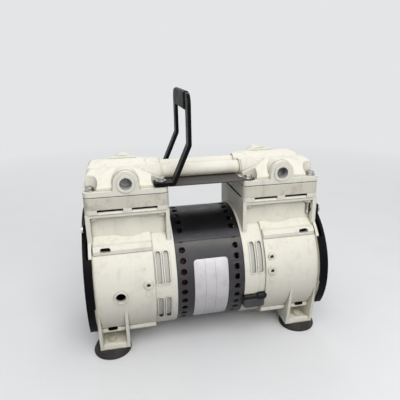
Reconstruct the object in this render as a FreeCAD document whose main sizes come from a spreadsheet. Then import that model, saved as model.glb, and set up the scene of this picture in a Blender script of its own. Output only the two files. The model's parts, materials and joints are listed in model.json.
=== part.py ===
"""Twin-head wobble-piston vacuum pump, modelled piece by piece.

Frame: X runs along the crankshaft, -Y is the front, +Z is up, and the origin is on the floor under
the middle of the pump. Lengths are millimetres and angles degrees.
"""
import FreeCAD
import Part
import Sketcher

import math
import os

Vector = FreeCAD.Vector
Rotation = FreeCAD.Rotation
Placement = FreeCAD.Placement

DIMENSIONS = {
    # Layout of the whole pump
    "axis_height": 100.0,
    "cylinder_station": 108.3,
    "tower_width": 112.0,
    "tower_depth": 124.4,
    "tower_top": 217.5,
    "plate_thickness": 16.9,
    "gasket_thickness": 0.8,
    "flange_corner_radius": 7.0,
    "head_screw_reach_x": 46.8,
    "head_screw_reach_y": 51.5,
    # Motor shell
    "shell_half_length": 48.6,
    "shell_radius": 87.0,
    "shell_wall": 1.8,
    "shell_hole_radius": 4.5,
    "shell_hole_station": 38.5,
    "shell_hole_pitch": 10.0,
    "shell_hole_turn": 3.5,
    "lap_first_angle": 44.5,
    "lap_last_angle": 52.5,
    "lap_wall": 1.2,
    # Crank housing
    "ring_radius": 89.0,
    "ring_end": 79.5,
    "case_radius": 91.5,
    "rim_radius": 94.6,
    "rim_width": 4.3,
    "spigot_length": 6.0,
    "motor_bore_radius": 82.0,
    "crank_bore_radius": 84.0,
    "web_wall": 6.5,
    "hub_radius": 25.5,
    "hub_inner_end": 73.0,
    "hub_lip": 1.0,
    "deck_thickness": 12.5,
    "flange_height": 6.5,
    "lip_height": 4.7,
    "lip_step": 1.2,
    "tower_rib_outer": 6.0,
    "tower_rib_inner": 5.2,
    "recess_depth": 12.0,
    "duct_half_width": 46.0,
    "window_half_width": 40.0,
    "window_top": 190.0,
    "barrel_radius": 40.0,
    "barrel_bulge": 54.0,
    "lug_radius": 6.5,
    "lug_drop": 4.8,
    "air_slot_height": 3.4,
    "air_slot_depth": 22.0,
    "air_slot_chamfer": 2.4,
    "side_slot_depth": 4.5,
    "air_slot_gap": 11.5,
    "air_slot_length": 34.0,
    "side_slot_half": 50.0,
    "ridge_first": 80.0,
    "ridge_last": 158.0,
    "ridge_front": 72.5,
    "ridge_low": 57.5,
    "ridge_high": 68.0,
    "ridge_chamfer": 5.0,
    "ridge_root": 45.0,
    "pocket_first": 134.8,
    "pocket_width": 14.0,
    "pocket_height": 6.0,
    "pocket_depth": 20.0,
    "pocket_rise": 63.0,
    "pocket_fall": 59.0,
    "vent_width": 6.5,
    "vent_depth": 2.5,
    "vent_rim_width": 1.6,
    "vent_rim_proud": 1.0,
    "vent_station": 67.0,
    "vent_spacing": 11.0,
    "upper_vent_rise": 33.6,
    "upper_vent_height": 42.0,
    "lower_vent_drop": 27.5,
    "lower_vent_height": 39.0,
    "boss_proud": 2.2,
    "boss_root": 6.0,
    "sight_hole_radius": 6.85,
    "sight_lip_radius": 9.15,
    "sight_station": 126.4,
    "sight_rise": 1.5,
    "sight_depth": 14.0,
    "small_boss_station": 88.4,
    "small_boss_rise": 15.3,
    "small_boss_radius": 6.4,
    "small_boss_bore": 2.6,
    "small_boss_depth": 5.0,
    "plug_boss_rise": 35.0,
    "plug_boss_radius": 4.9,
    "mark_rise": 2.0,
    "mark_radius": 4.3,
    "mark_proud": 0.4,
    # Foot brackets and feet
    "bracket_inner": 119.0,
    "bracket_outer": 161.5,
    "bracket_rib": 4.5,
    "bracket_front": 78.3,
    "bracket_back": 33.0,
    "bracket_shoulder": 91.3,
    "bracket_shoulder_height": 92.0,
    "bracket_floor": 4.0,
    "bracket_lip": 7.9,
    "foot_height": 10.6,
    "foot_radius": 27.0,
    "foot_top_radius": 23.5,
    "foot_chamfer": 1.0,
    "foot_wall_height": 7.0,
    "foot_station": 144.6,
    "foot_offset": 61.3,
    "foot_recess_radius": 9.0,
    "foot_recess_depth": 5.0,
    "foot_screw_radius": 3.0,
    "foot_screw_head_radius": 6.0,
    "foot_screw_head_height": 3.0,
    # Cylinder and valve gear
    "bore_radius": 33.0,
    "sleeve_wall": 2.5,
    "sleeve_length": 28.0,
    "sleeve_ledge": 2.0,
    "sleeve_step": 0.5,
    "ring_groove_height": 6.0,
    "ring_groove_width": 2.4,
    "ring_groove_depth": 1.2,
    "valve_recess_depth": 1.2,
    "valve_recess_inset": 2.0,
    "valve_hole_radius": 3.0,
    "valve_spacing": 11.0,
    "intake_offset": 15.0,
    "exhaust_offset": 22.0,
    "reed_thickness": 0.3,
    "reed_width": 9.0,
    "reed_length": 20.0,
    "reed_screw_radius": 2.6,
    "reed_screw_height": 2.0,
    # Head
    "head_flange": 7.3,
    "head_body_inner": 56.5,
    "head_body_outer": 160.3,
    "collar_step": 2.0,
    "collar_radius": 12.2,
    "collar_length": 20.0,
    "taper_root_radius": 13.2,
    "taper_length": 48.0,
    "taper_end_radius": 30.5,
    "outer_shoulder_radius": 10.0,
    "head_wall_front": 44.0,
    "shoulder_radius": 12.0,
    "lobe_offset": 26.0,
    "lobe_height": 22.5,
    "lobe_radius": 47.0,
    "valley_radius": 8.0,
    "inner_pocket_radius": 12.5,
    "outer_pocket_radius": 10.5,
    "port_height": 8.3,
    "port_radius": 8.2,
    "port_rim_radius": 12.2,
    "port_rim_step": 0.8,
    "port_depth": 22.0,
    "port_passage_radius": 5.0,
    "port_passage_reach": 8.0,
    "port_boss_radius": 17.7,
    "port_boss_root": 36.0,
    "port_boss_reach": 54.0,
    "port_pad_half_width": 16.7,
    "port_pad_flare": 2.0,
    "port_pad_thickness": 20.0,
    "apron_half_width": 50.0,
    "apron_top_half_width": 18.0,
    "apron_front": 57.5,
    "apron_back": 28.0,
    "apron_step": 3.5,
    "apron_inner_foot": 5.0,
    "apron_outer_foot": 13.0,
    "apron_shoulder": 36.5,
    "apron_height": 24.0,
    "chamber_depth": 17.0,
    "chamber_half_length": 30.0,
    "chamber_far": 38.0,
    "chamber_near": 5.0,
    # Transfer tubes
    "tube_offset": 16.4,
    "tube_height": 10.2,
    "tube_radius": 9.6,
    "tube_wall": 1.6,
    "tube_engagement": 9.0,
    "seal_inset": 3.0,
    "seal_width": 2.6,
    "seal_wall": 1.0,
    # Bridge plate, handle and grip
    "bridge_thickness": 1.5,
    "bridge_half_depth": 61.0,
    "bridge_end_gap": 0.3,
    "channel_half_width": 27.0,
    "channel_slope": 2.0,
    "channel_drop": 1.2,
    "bridge_ear_radius": 9.5,
    "bridge_neck_half": 7.3,
    "strap_thickness": 4.7,
    "strap_bend_radius": 2.3,
    "handle_plane": 20.0,
    "handle_half_depth": 63.4,
    "handle_leg_width": 17.4,
    "handle_toe": 70.6,
    "handle_heel": 43.0,
    "handle_lean": 66.2,
    "handle_top": 362.7,
    "handle_bar_height": 21.0,
    "handle_corner_radius": 14.0,
    "handle_window_radius": 5.0,
    "grip_wall": 1.7,
    "grip_half_length": 41.0,
    "grip_corner_radius": 3.5,
    # Fasteners
    "screw_radius": 3.0,
    "screw_across_flats": 10.0,
    "screw_head_height": 4.2,
    "washer_radius": 7.3,
    "washer_thickness": 1.2,
    "long_bolt_radius": 2.5,
    "long_bolt_head_radius": 4.5,
    "long_bolt_head_height": 4.0,
    "bolt_circle_radius": 78.5,
    "bolt_angle": 41.5,
    # Motor inside
    "stator_half_length": 30.0,
    "stator_bore_radius": 45.2,
    "air_gap": 0.6,
    "winding_reach": 14.0,
    "winding_outer_radius": 74.5,
    "winding_inner_radius": 52.0,
    "end_ring_height": 6.0,
    "end_ring_inner_radius": 28.0,
    "shaft_radius": 8.5,
    "shaft_shoulder_radius": 10.0,
    "shaft_half_length": 162.0,
    "shaft_hole_gap": 0.6,
    "end_play": 0.2,
    "bearing_outer_radius": 20.0,
    "bearing_width": 12.0,
    "bearing_inner_end": 76.0,
    # Crank train
    "throw": 4.0,
    "eccentric_radius": 15.0,
    "eccentric_width": 16.0,
    "counterweight_radius": 42.0,
    "counterweight_thickness": 8.0,
    "counterweight_hub_radius": 17.5,
    "set_screw_radius": 2.5,
    "set_screw_length": 10.0,
    "rod_bearing_wall": 5.0,
    "rod_width": 12.0,
    "rod_eye_wall": 5.5,
    "rod_shank_root": 11.0,
    "rod_shank_tip": 8.0,
    "rod_length": 112.5,
    "piston_disc_radius": 26.0,
    "piston_disc_thickness": 5.0,
    "cup_radius": 28.5,
    "cup_thickness": 1.5,
    "cup_lip_height": 3.5,
    "retainer_radius": 25.5,
    "retainer_thickness": 4.5,
    "retainer_screw_radius": 4.0,
    "retainer_screw_length": 22.0,
    "retainer_head_radius": 8.0,
    "retainer_head_height": 2.5,
    # Fans and guards
    "fan_first": 138.0,
    "fan_last": 158.0,
    "fan_radius": 71.0,
    "fan_hub_radius": 16.0,
    "fan_blade_half_thickness": 1.6,
    "fan_blade_slant": 9.0,
    "fan_blade_count": 7,
    "guard_radius": 98.6,
    "guard_wall": 2.4,
    "guard_first": 160.0,
    "guard_last": 171.5,
    "guard_floor": 48.0,
    "guard_ear_half_width": 60.0,
    "guard_ear_low": 160.0,
    "guard_ear_top": 198.0,
    "guard_ear_reach": 4.2,
    "guard_notch_low": 156.0,
    "guard_notch_high": 178.0,
    "guard_notch_last": 167.0,
    "guard_relief": 1.8,
    "guard_upper_screw_offset": 54.5,
    "guard_upper_screw_height": 190.0,
    "guard_screw_radius": 2.5,
    "guard_screw_head_radius": 5.5,
    "guard_screw_head_height": 2.4,
    "guard_lower_screw_angle": 30.0,
    "guard_standoff_radius": 7.2,
    "grille_hub_radius": 16.0,
    "grille_ring_pitch": 13.2,
    "grille_ring_width": 3.2,
    "grille_ring_count": 5,
    "grille_spoke_width": 4.5,
    "grille_spoke_count": 8,
    # Cable gland
    "gland_first": 45.8,
    "gland_last": 82.8,
    "gland_low": 50.4,
    "gland_high": 80.7,
    "gland_front": 92.5,
    "gland_back": 60.0,
    "gland_corner_radius": 6.0,
    # Clearances
    "running_clearance": 0.05,
    "seat_clearance": 0.05,
    "screw_clearance": 0.4,
}

DOCUMENT = FreeCAD.newDocument("vacuum_pump")
AXIS_TURNS = {
    "x": Rotation(Vector(0, 1, 0), 90),
    "y": Rotation(Vector(1, 0, 0), -90),
    "z": Rotation(),
}
ACROSS = {"x": "yz", "y": "xz", "z": "xy"}
PLANE_OF = {"x": "YZ_Plane", "y": "XZ_Plane", "z": "XY_Plane"}
LEFT, RIGHT = -1, 1
FRONT, REAR = -1, 1
NAMES = {LEFT: "left", RIGHT: "right"}
parts = []


class Size:
    """A length, an angle or a ratio, with the sheet expression that gives it."""

    def __init__(self, value, text):
        self.value = float(value)
        self.text = text

    def __add__(self, other):
        other = size(other)
        return Size(self.value + other.value, "({} + {})".format(self.text, other.text))

    __radd__ = __add__

    def __neg__(self):
        return Size(-self.value, "(-{})".format(self.text))

    def __sub__(self, other):
        other = size(other)
        return Size(self.value - other.value, "({} - {})".format(self.text, other.text))

    def __rsub__(self, other):
        return size(other) - self

    def __mul__(self, other):
        other = size(other)
        return Size(self.value * other.value, "({} * {})".format(self.text, other.text))

    __rmul__ = __mul__

    def __truediv__(self, other):
        other = size(other)
        return Size(self.value / other.value, "({} / {})".format(self.text, other.text))


def size(number):
    """The number as a Size."""
    return number if isinstance(number, Size) else Size(number, repr(float(number)))


def cosine(angle):
    """Cosine of an angle in degrees."""
    return Size(math.cos(math.radians(angle.value)), "cos({})".format(angle.text))


def sine(angle):
    """Sine of an angle in degrees."""
    return Size(math.sin(math.radians(angle.value)), "sin({})".format(angle.text))


def tangent(angle):
    """Tangent of an angle in degrees."""
    return sine(angle) / cosine(angle)


def root(square):
    """Square root."""
    return Size(math.sqrt(square.value), "sqrt({})".format(square.text))


class Sheet:
    """The spreadsheet of driving dimensions: each attribute is one of them as a Size."""

    def __init__(self, dimensions):
        self.cells = DOCUMENT.addObject("Spreadsheet::Sheet", "Sizes")
        for row, (alias, number) in enumerate(dimensions.items(), start=1):
            self.cells.set("A{}".format(row), alias)
            self.cells.set("B{}".format(row), str(number))
            self.cells.setAlias("B{}".format(row), alias)
        DOCUMENT.recompute()

    def __getattr__(self, alias):
        return Size(getattr(self.cells, alias), "Sizes." + alias)


S = Sheet(DIMENSIONS)


def bind(target, name, amount):
    """Tie a property to the sheet."""
    target.setExpression(name, size(amount).text)


def move(target, x=0, y=0, z=0):
    """Tie an object's place to the sheet."""
    bind(target, "Placement.Base.x", x)
    bind(target, "Placement.Base.y", y)
    bind(target, "Placement.Base.z", z)


def ordered(side, near, far):
    """The span from near to far on one side of the middle, lowest first."""
    return (size(near), size(far)) if side > 0 else (-size(far), -size(near))


def both_ways(reach):
    """The span that reaches equally far to both sides of the middle."""
    return (-size(reach), size(reach))


def block(name, x, y, z):
    """Box over three spans."""
    box = DOCUMENT.addObject("Part::Box", name)
    for extent, (low, high) in (("Length", x), ("Width", y), ("Height", z)):
        bind(box, extent, size(high) - low)
    move(box, x[0], y[0], z[0])
    return box


def cylinder(name, axis, centre, radius, span):
    """Cylinder along an axis; centre holds its other two coordinates in the order x, y, z."""
    drum = DOCUMENT.addObject("Part::Cylinder", name)
    bind(drum, "Radius", radius)
    bind(drum, "Height", size(span[1]) - span[0])
    drum.Placement = Placement(Vector(), AXIS_TURNS[axis])
    place = dict(zip(ACROSS[axis], centre))
    place[axis] = span[0]
    move(drum, **place)
    return drum


def hexagon(name, centre, across_flats, span):
    """Upright hexagonal prism."""
    nut = DOCUMENT.addObject("Part::Prism", name)
    nut.Polygon = 6
    bind(nut, "Circumradius", across_flats / math.sqrt(3))
    bind(nut, "Height", size(span[1]) - span[0])
    move(nut, centre[0], centre[1], span[0])
    return nut


def fuse(name, *shapes):
    """Union of the shapes."""
    union = DOCUMENT.addObject("Part::MultiFuse", name)
    union.Shapes = list(shapes)
    union.Refine = True
    return union


def group(name, *shapes):
    """Separate solids kept together in one node."""
    bundle = DOCUMENT.addObject("Part::Compound", name)
    bundle.Links = list(shapes)
    return bundle


def cut(name, base, *tools):
    """Base with every tool taken away."""
    rest = DOCUMENT.addObject("Part::Cut", name)
    rest.Base = base
    rest.Tool = tools[0] if len(tools) == 1 else fuse(name + "_tools", *tools)
    rest.Refine = True
    return rest


def common(name, one, other):
    """What two shapes share."""
    shared = DOCUMENT.addObject("Part::Common", name)
    shared.Base = one
    shared.Tool = other
    return shared


def tube(name, axis, centre, outer, inner, span):
    """Hollow cylinder."""
    return cut(name, cylinder(name + "_outside", axis, centre, outer, span),
               cylinder(name + "_bore", axis, centre, inner, span))


def mirrored(name, source):
    """The opposite hand of a piece, mirrored in the middle plane across the crankshaft."""
    copy = DOCUMENT.addObject("Part::Mirroring", name)
    copy.Source = source
    copy.Normal = Vector(1, 0, 0)
    return copy


def arc_centre(start, end, radius):
    """Centre of the short arc between two points, to the left of the way for a positive radius."""
    across, up = end[0] - start[0], end[1] - start[1]
    chord = math.hypot(across, up)
    rise = math.sqrt(max(radius * radius - chord * chord / 4, 0.0)) * math.copysign(1, radius)
    return ((start[0] + end[0]) / 2 - up / chord * rise,
            (start[1] + end[1]) / 2 + across / chord * rise)


def tie(sketch, kind, *target, amount):
    """Add a dimension to a sketch and tie it to the sheet."""
    number = sketch.addConstraint(Sketcher.Constraint(kind, *target, amount.value))
    sketch.setExpression("Constraints[{}]".format(number), amount.text)


def draw(sketch, outline):
    """Draw a closed outline and tie every corner and radius to the sheet.

    A point is (across, up) at the end of a straight side, or (across, up, radius) at the end of an
    arc, whose radius is positive where it turns left and negative where it turns right.
    """
    first, count = sketch.GeometryCount, len(outline)
    outline = [tuple(size(amount) for amount in point) for point in outline]
    for index, point in enumerate(outline):
        start = [amount.value for amount in outline[index - 1][:2]]
        end = [amount.value for amount in point[:2]]
        if len(point) == 2:
            sketch.addGeometry(Part.LineSegment(Vector(*start, 0), Vector(*end, 0)), False)
            continue
        radius = point[2].value
        middle = arc_centre(start, end, radius)
        low, high = (start, end) if radius > 0 else (end, start)
        begin = math.atan2(low[1] - middle[1], low[0] - middle[0])
        finish = math.atan2(high[1] - middle[1], high[0] - middle[0])
        circle = Part.Circle(Vector(*middle, 0), Vector(0, 0, 1), abs(radius))
        sketch.addGeometry(Part.ArcOfCircle(circle, begin, finish + (finish < begin) * 2 * math.pi),
                           False)
    backwards = [len(point) == 3 and point[2].value < 0 for point in outline]
    for index, point in enumerate(outline):
        here, following = first + index, (index + 1) % count
        end_of_here = 1 if backwards[index] else 2
        sketch.addConstraint(Sketcher.Constraint("Coincident", here, end_of_here, first + following,
                                                 2 if backwards[following] else 1))
        tie(sketch, "DistanceX", here, end_of_here, amount=point[0])
        tie(sketch, "DistanceY", here, end_of_here, amount=point[1])
        if len(point) == 3:
            tie(sketch, "Radius", here, amount=-point[2] if backwards[index] else point[2])


def origin_sketch(body, name, role):
    """Sketch on one of a body's own origin planes."""
    sketch = body.newObject("Sketcher::SketchObject", name)
    plane = [item for item in body.Origin.OriginFeatures if item.Role == role][0]
    sketch.AttachmentSupport = [(plane, "")]
    sketch.MapMode = "FlatFace"
    return sketch


def prism(name, axis, outline, span, *openings):
    """Outline padded along an axis over a span, with openings through it."""
    body = DOCUMENT.addObject("PartDesign::Body", name)
    sketch = origin_sketch(body, name + "_profile", PLANE_OF[axis])
    for closed in (outline,) + openings:
        draw(sketch, closed)
    pad = body.newObject("PartDesign::Pad", name + "_pad")
    pad.Profile = sketch
    bind(pad, "Length", size(span[1]) - span[0])
    move(body, **{axis: span[1] if axis == "y" else span[0]})
    return body


def turned(name, axis, outline, centre):
    """Outline of (along, radius) points turned once round the X or Z axis through a centre."""
    body = DOCUMENT.addObject("PartDesign::Body", name)
    sketch = origin_sketch(body, name + "_profile", "XZ_Plane")
    draw(sketch, outline if axis == "x" else [(radius, along) for along, radius in outline])
    turn = body.newObject("PartDesign::Revolution", name + "_turn")
    turn.Profile = sketch
    turn.ReferenceAxis = (sketch, ["H_Axis" if axis == "x" else "V_Axis"])
    turn.Angle = 360
    move(body, **dict(zip(ACROSS[axis], centre)))
    return body


def rounded_rectangle(across, up, radius):
    """Outline of a rectangle with round corners."""
    (left, right), (low, high) = across, up
    return [(right - radius, low), (right, low + radius, radius),
            (right, high - radius), (right - radius, high, radius),
            (left + radius, high), (left, high - radius, radius),
            (left, low + radius), (left + radius, low, radius)]


def slot(name, axis, across, up, span):
    """Long hole with almost half-round ends, padded along an axis."""
    width = min(across[1] - across[0], up[1] - up[0], key=lambda length: length.value)
    return prism(name, axis, rounded_rectangle(across, up, width * 0.48), span)


def publish(piece, name):
    """Name a finished sub-part."""
    piece.Label = name
    parts.append(piece)
    return piece


TOWER_INNER = S.cylinder_station - S.tower_width / 2
TOWER_OUTER = S.cylinder_station + S.tower_width / 2
TOWER_HALF = S.tower_depth / 2
LIP_HALF = TOWER_HALF - S.lip_step
PLATE_TOP = S.tower_top + S.plate_thickness
GASKET_TOP = PLATE_TOP + S.gasket_thickness
FLANGE_TOP = GASKET_TOP + S.head_flange
BRIDGE_TOP = FLANGE_TOP + S.bridge_thickness
STRAP_TOP = BRIDGE_TOP + S.strap_thickness
DECK_UNDERSIDE = S.tower_top - S.deck_thickness
FLANGE_UNDERSIDE = S.tower_top - S.flange_height
LIP_UNDERSIDE = FLANGE_UNDERSIDE - S.lip_height
LUG_UNDERSIDE = LIP_UNDERSIDE - S.lug_drop
SLEEVE_LOW = S.tower_top - S.sleeve_length
CASE_END = TOWER_OUTER - S.rim_width
WEB_END = S.ring_end + S.web_wall
SHELL_BORE = S.shell_radius - S.shell_wall
PORT_Z = FLANGE_TOP + S.port_height
TUBE_Z = FLANGE_TOP + S.tube_height
MOTOR_CENTRE = (0, S.axis_height)
CYLINDER_CENTRE = (S.cylinder_station, 0)
SCREW_PLACES = [(S.cylinder_station + S.head_screw_reach_x * along, S.head_screw_reach_y * side)
                for along in (-1, 1) for side in (FRONT, REAR)]
INNER_SCREWS = SCREW_PLACES[:2]
BOLT_PLACES = [(S.bolt_circle_radius * cosine(S.bolt_angle) * side,
                S.axis_height + S.bolt_circle_radius * sine(S.bolt_angle) * up)
               for side in (FRONT, REAR) for up in (-1, 1)]
VENT_PLACES = ([(side, along, S.upper_vent_rise, S.upper_vent_height)
                for side in (FRONT, REAR) for along in (-1, 1)]
               + [(REAR, along, -S.lower_vent_drop, S.lower_vent_height) for along in (-1, 1)])
LOWER_VENT_PLACES = [(FRONT, along, -S.lower_vent_drop, S.lower_vent_height) for along in (-1, 1)]
FLANGE_OUTLINE = rounded_rectangle((TOWER_INNER, TOWER_OUTER), both_ways(TOWER_HALF),
                                   S.flange_corner_radius)


def screw_holes(name, span):
    """Clearance holes for the four head screws of the right-hand cylinder."""
    return [cylinder(name, "z", place, S.screw_radius + S.screw_clearance, span)
            for place in SCREW_PLACES]


def tower_shell():
    """Tower of the housing: flange, stepped lip, front and rear recesses, bulge and screw lugs."""
    trunk = block("tower_trunk", (TOWER_INNER, TOWER_OUTER), both_ways(LIP_HALF),
                  (S.axis_height, FLANGE_UNDERSIDE))
    flange = prism("tower_flange", "z", FLANGE_OUTLINE, (FLANGE_UNDERSIDE, S.tower_top))
    below_lip = (S.axis_height, LIP_UNDERSIDE)
    recesses = [block("tower_recess", (TOWER_INNER + S.tower_rib_inner, TOWER_OUTER - S.tower_rib_outer),
                      ordered(side, TOWER_HALF - S.recess_depth, TOWER_HALF), below_lip)
                for side in (FRONT, REAR)]
    bulge = common("barrel_bulge",
                   cylinder("bulge_drum", "z", CYLINDER_CENTRE, S.barrel_bulge, below_lip),
                   block("bulge_limit", (TOWER_INNER, TOWER_OUTER), both_ways(LIP_HALF), below_lip))
    lugs = [cylinder("screw_lug", "z", place, S.lug_radius, (LUG_UNDERSIDE, LIP_UNDERSIDE))
            for place in SCREW_PLACES]
    walls = cut("tower_walls", fuse("tower_block", trunk, flange), *recesses)
    return fuse("tower_shell", walls, bulge, *lugs)


def foot_bracket(side):
    """Open bracket under one edge of the housing: two ribs, a floor and a front lip."""
    edge = [(S.bracket_back * side, S.foot_height), (S.bracket_front * side, S.foot_height),
            (S.bracket_shoulder * side, S.bracket_shoulder_height),
            (S.bracket_back * side, S.bracket_shoulder_height)]
    ribs = [prism("bracket_rib", "x", edge, span) for span in
            ((S.bracket_inner, S.bracket_inner + S.bracket_rib),
             (S.bracket_outer - S.bracket_rib, S.bracket_outer))]
    whole = (S.bracket_inner, S.bracket_outer)
    floor = block("bracket_floor", whole, ordered(side, S.bracket_back, S.bracket_front),
                  (S.foot_height, S.foot_height + S.bracket_floor))
    lip = block("bracket_lip", whole, ordered(side, S.bracket_front - S.bracket_rib, S.bracket_front),
                (S.foot_height, S.foot_height + S.bracket_lip))
    return fuse("foot_bracket", floor, lip, *ribs)


def bolt_ridge(side, upper):
    """Long ridge with a sloped back that stiffens the case over the through bolts."""
    section = [(S.ridge_root, S.ridge_root), (S.ridge_front, S.ridge_low),
               (S.ridge_front, S.ridge_high - S.ridge_chamfer),
               (S.ridge_front - S.ridge_chamfer, S.ridge_high), (S.ridge_root, S.ridge_high)]
    outline = [(across * side, S.axis_height + up * upper) for across, up in section]
    return prism("bolt_ridge", "x", outline, (S.ridge_first, S.ridge_last))


def vent_outline(side, along, rise, height, margin):
    """Upright slot shape at one vent of the motor ring, wider by a margin all round."""
    station = S.vent_station + S.vent_spacing / 2 * along
    half_width, half_height = S.vent_width / 2 + margin, height / 2 + margin
    return slot("vent_slot", "y", (station - half_width, station + half_width),
                (S.axis_height + rise - half_height, S.axis_height + rise + half_height),
                ordered(side, S.ring_radius / 3, S.ring_radius + S.vent_rim_proud))


def vent(side, along, rise, height):
    """Blind upright slot in the motor ring, its floor parallel to the ring's surface."""
    floor = cylinder("vent_floor", "x", MOTOR_CENTRE, S.ring_radius - S.vent_depth,
                     (S.shell_half_length, S.ring_end))
    return cut("vent", vent_outline(side, along, rise, height, size(0)), floor)


def vent_rim(side, along, rise, height):
    """Low raised rim round one vent."""
    layer = cylinder("vent_rim_layer", "x", MOTOR_CENTRE, S.ring_radius + S.vent_rim_proud,
                     (S.shell_half_length, S.ring_end))
    return common("vent_rim", vent_outline(side, along, rise, height, S.vent_rim_width), layer)


def housing_openings():
    """Everything that is taken out of the right-hand casting."""
    motor_bore = cylinder("motor_bore", "x", MOTOR_CENTRE, S.motor_bore_radius,
                          (S.shell_half_length - S.spigot_length, S.ring_end))
    crank_bore = cylinder("crank_bore", "x", MOTOR_CENTRE, S.crank_bore_radius, (WEB_END, TOWER_OUTER))
    duct = cut("air_duct",
               block("duct_space", (WEB_END, TOWER_OUTER - S.tower_rib_outer),
                     both_ways(S.duct_half_width), (S.axis_height, DECK_UNDERSIDE)),
               cylinder("barrel", "z", CYLINDER_CENTRE, S.barrel_radius,
                        (SLEEVE_LOW - S.sleeve_ledge, DECK_UNDERSIDE)))
    window = block("duct_window", (WEB_END, TOWER_OUTER), both_ways(S.window_half_width),
                   (S.axis_height, S.window_top))
    sleeve_seat = cylinder("sleeve_seat", "z", CYLINDER_CENTRE,
                           S.bore_radius + S.sleeve_wall + S.seat_clearance, (SLEEVE_LOW, S.tower_top))
    sleeve_pass = cylinder("sleeve_pass", "z", CYLINDER_CENTRE, S.bore_radius + S.sleeve_step,
                           (SLEEVE_LOW - S.sleeve_ledge, SLEEVE_LOW))
    slot_height = (S.tower_top - S.air_slot_height, S.tower_top)
    air_slots = []
    for side in (FRONT, REAR):
        for along in (-1, 1):
            near, far = ordered(along, S.air_slot_gap / 2, S.air_slot_gap / 2 + S.air_slot_length)
            span = (S.cylinder_station + near, S.cylinder_station + far)
            air_slots.append(block("air_slot", span,
                                   ordered(side, TOWER_HALF - S.air_slot_depth, TOWER_HALF),
                                   slot_height))
            air_slots.append(prism("air_slot_lip", "x", [
                ((TOWER_HALF - S.air_slot_chamfer) * side, slot_height[0]),
                (TOWER_HALF * side, slot_height[0] - S.air_slot_chamfer),
                (TOWER_HALF * side, slot_height[0])], span))
    side_slot = block("side_slot", (TOWER_INNER, TOWER_INNER + S.side_slot_depth),
                      both_ways(S.side_slot_half), slot_height)
    bolts = [cylinder("long_bolt_hole", "x", place, S.long_bolt_radius + S.screw_clearance,
                      (S.ring_end, WEB_END)) for place in BOLT_PLACES]
    feet = [cylinder("foot_screw_hole", "z", (S.foot_station, S.foot_offset * side),
                     S.foot_screw_radius + S.screw_clearance,
                     (S.foot_height, S.foot_height + S.bracket_floor)) for side in (FRONT, REAR)]
    pockets = [slot("bolt_pocket", "y", (S.pocket_first, S.pocket_first + S.pocket_width),
                    (S.axis_height + rise - S.pocket_height / 2,
                     S.axis_height + rise + S.pocket_height / 2),
                    ordered(side, S.ridge_front - S.pocket_depth, S.ridge_front))
               for side in (FRONT, REAR) for rise in (S.pocket_rise, -S.pocket_fall)]
    vents = [vent(*place) for place in VENT_PLACES]
    guard_screws = [cylinder("guard_screw_hole", "x", (y, z), S.guard_screw_radius + S.seat_clearance,
                             (CASE_END - S.rim_width, TOWER_OUTER)) for y, z in guard_screw_places()]
    return ([motor_bore, crank_bore, duct, window, sleeve_seat, sleeve_pass, side_slot] + air_slots
            + screw_holes("head_screw_hole", (LUG_UNDERSIDE, S.tower_top)) + bolts + feet + pockets
            + vents + guard_screws)


def housing_casting():
    """The casting that both housings share, as the right-hand one."""
    drums = [cylinder("motor_ring", "x", MOTOR_CENTRE, S.ring_radius, (S.shell_half_length, S.ring_end)),
             cylinder("motor_spigot", "x", MOTOR_CENTRE, SHELL_BORE - S.seat_clearance,
                      (S.shell_half_length - S.spigot_length, S.shell_half_length)),
             cylinder("crank_case", "x", MOTOR_CENTRE, S.case_radius, (S.ring_end, CASE_END)),
             cylinder("case_rim", "x", MOTOR_CENTRE, S.rim_radius, (CASE_END, TOWER_OUTER))]
    ridges = [bolt_ridge(side, upper) for side in (FRONT, REAR) for upper in (-1, 1)]
    brackets = [foot_bracket(side) for side in (FRONT, REAR)]
    rims = [vent_rim(*place) for place in VENT_PLACES]
    outside = fuse("casting_outside", tower_shell(), *(drums + ridges + brackets + rims))
    hollow = cut("casting_hollow", outside, *housing_openings())
    hub_end = S.bearing_inner_end + S.bearing_width
    hub = cylinder("bearing_hub", "x", MOTOR_CENTRE, S.hub_radius, (S.hub_inner_end, hub_end + S.hub_lip))
    seat = cylinder("bearing_seat", "x", MOTOR_CENTRE, S.bearing_outer_radius + S.seat_clearance,
                    (S.bearing_inner_end, hub_end + S.hub_lip))
    bore = cylinder("hub_bore", "x", MOTOR_CENTRE, S.shaft_shoulder_radius + S.shaft_hole_gap,
                    (S.hub_inner_end, hub_end))
    return cut("housing_casting", fuse("casting_with_hub", hollow, hub), seat, bore)


def boss(name, station, rise, outer, inner, depth):
    """Round boss on the front of the case, and the hole that is cut into it."""
    place = (station, S.axis_height + rise)
    face = -(root(S.case_radius * S.case_radius - size(rise) * rise) + S.boss_proud)
    return (cylinder(name + "_boss", "y", place, outer, (face, face + S.boss_root)),
            cylinder(name + "_hole", "y", place, inner, (face, face + depth)))


def mark(side):
    """Faint round mark that the mould left under a small boss."""
    face = -(S.case_radius + S.mark_proud)
    return cylinder("mould_mark", "y", (S.small_boss_station * side, S.axis_height + S.mark_rise),
                    S.mark_radius, (face, face + S.boss_root))


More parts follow.
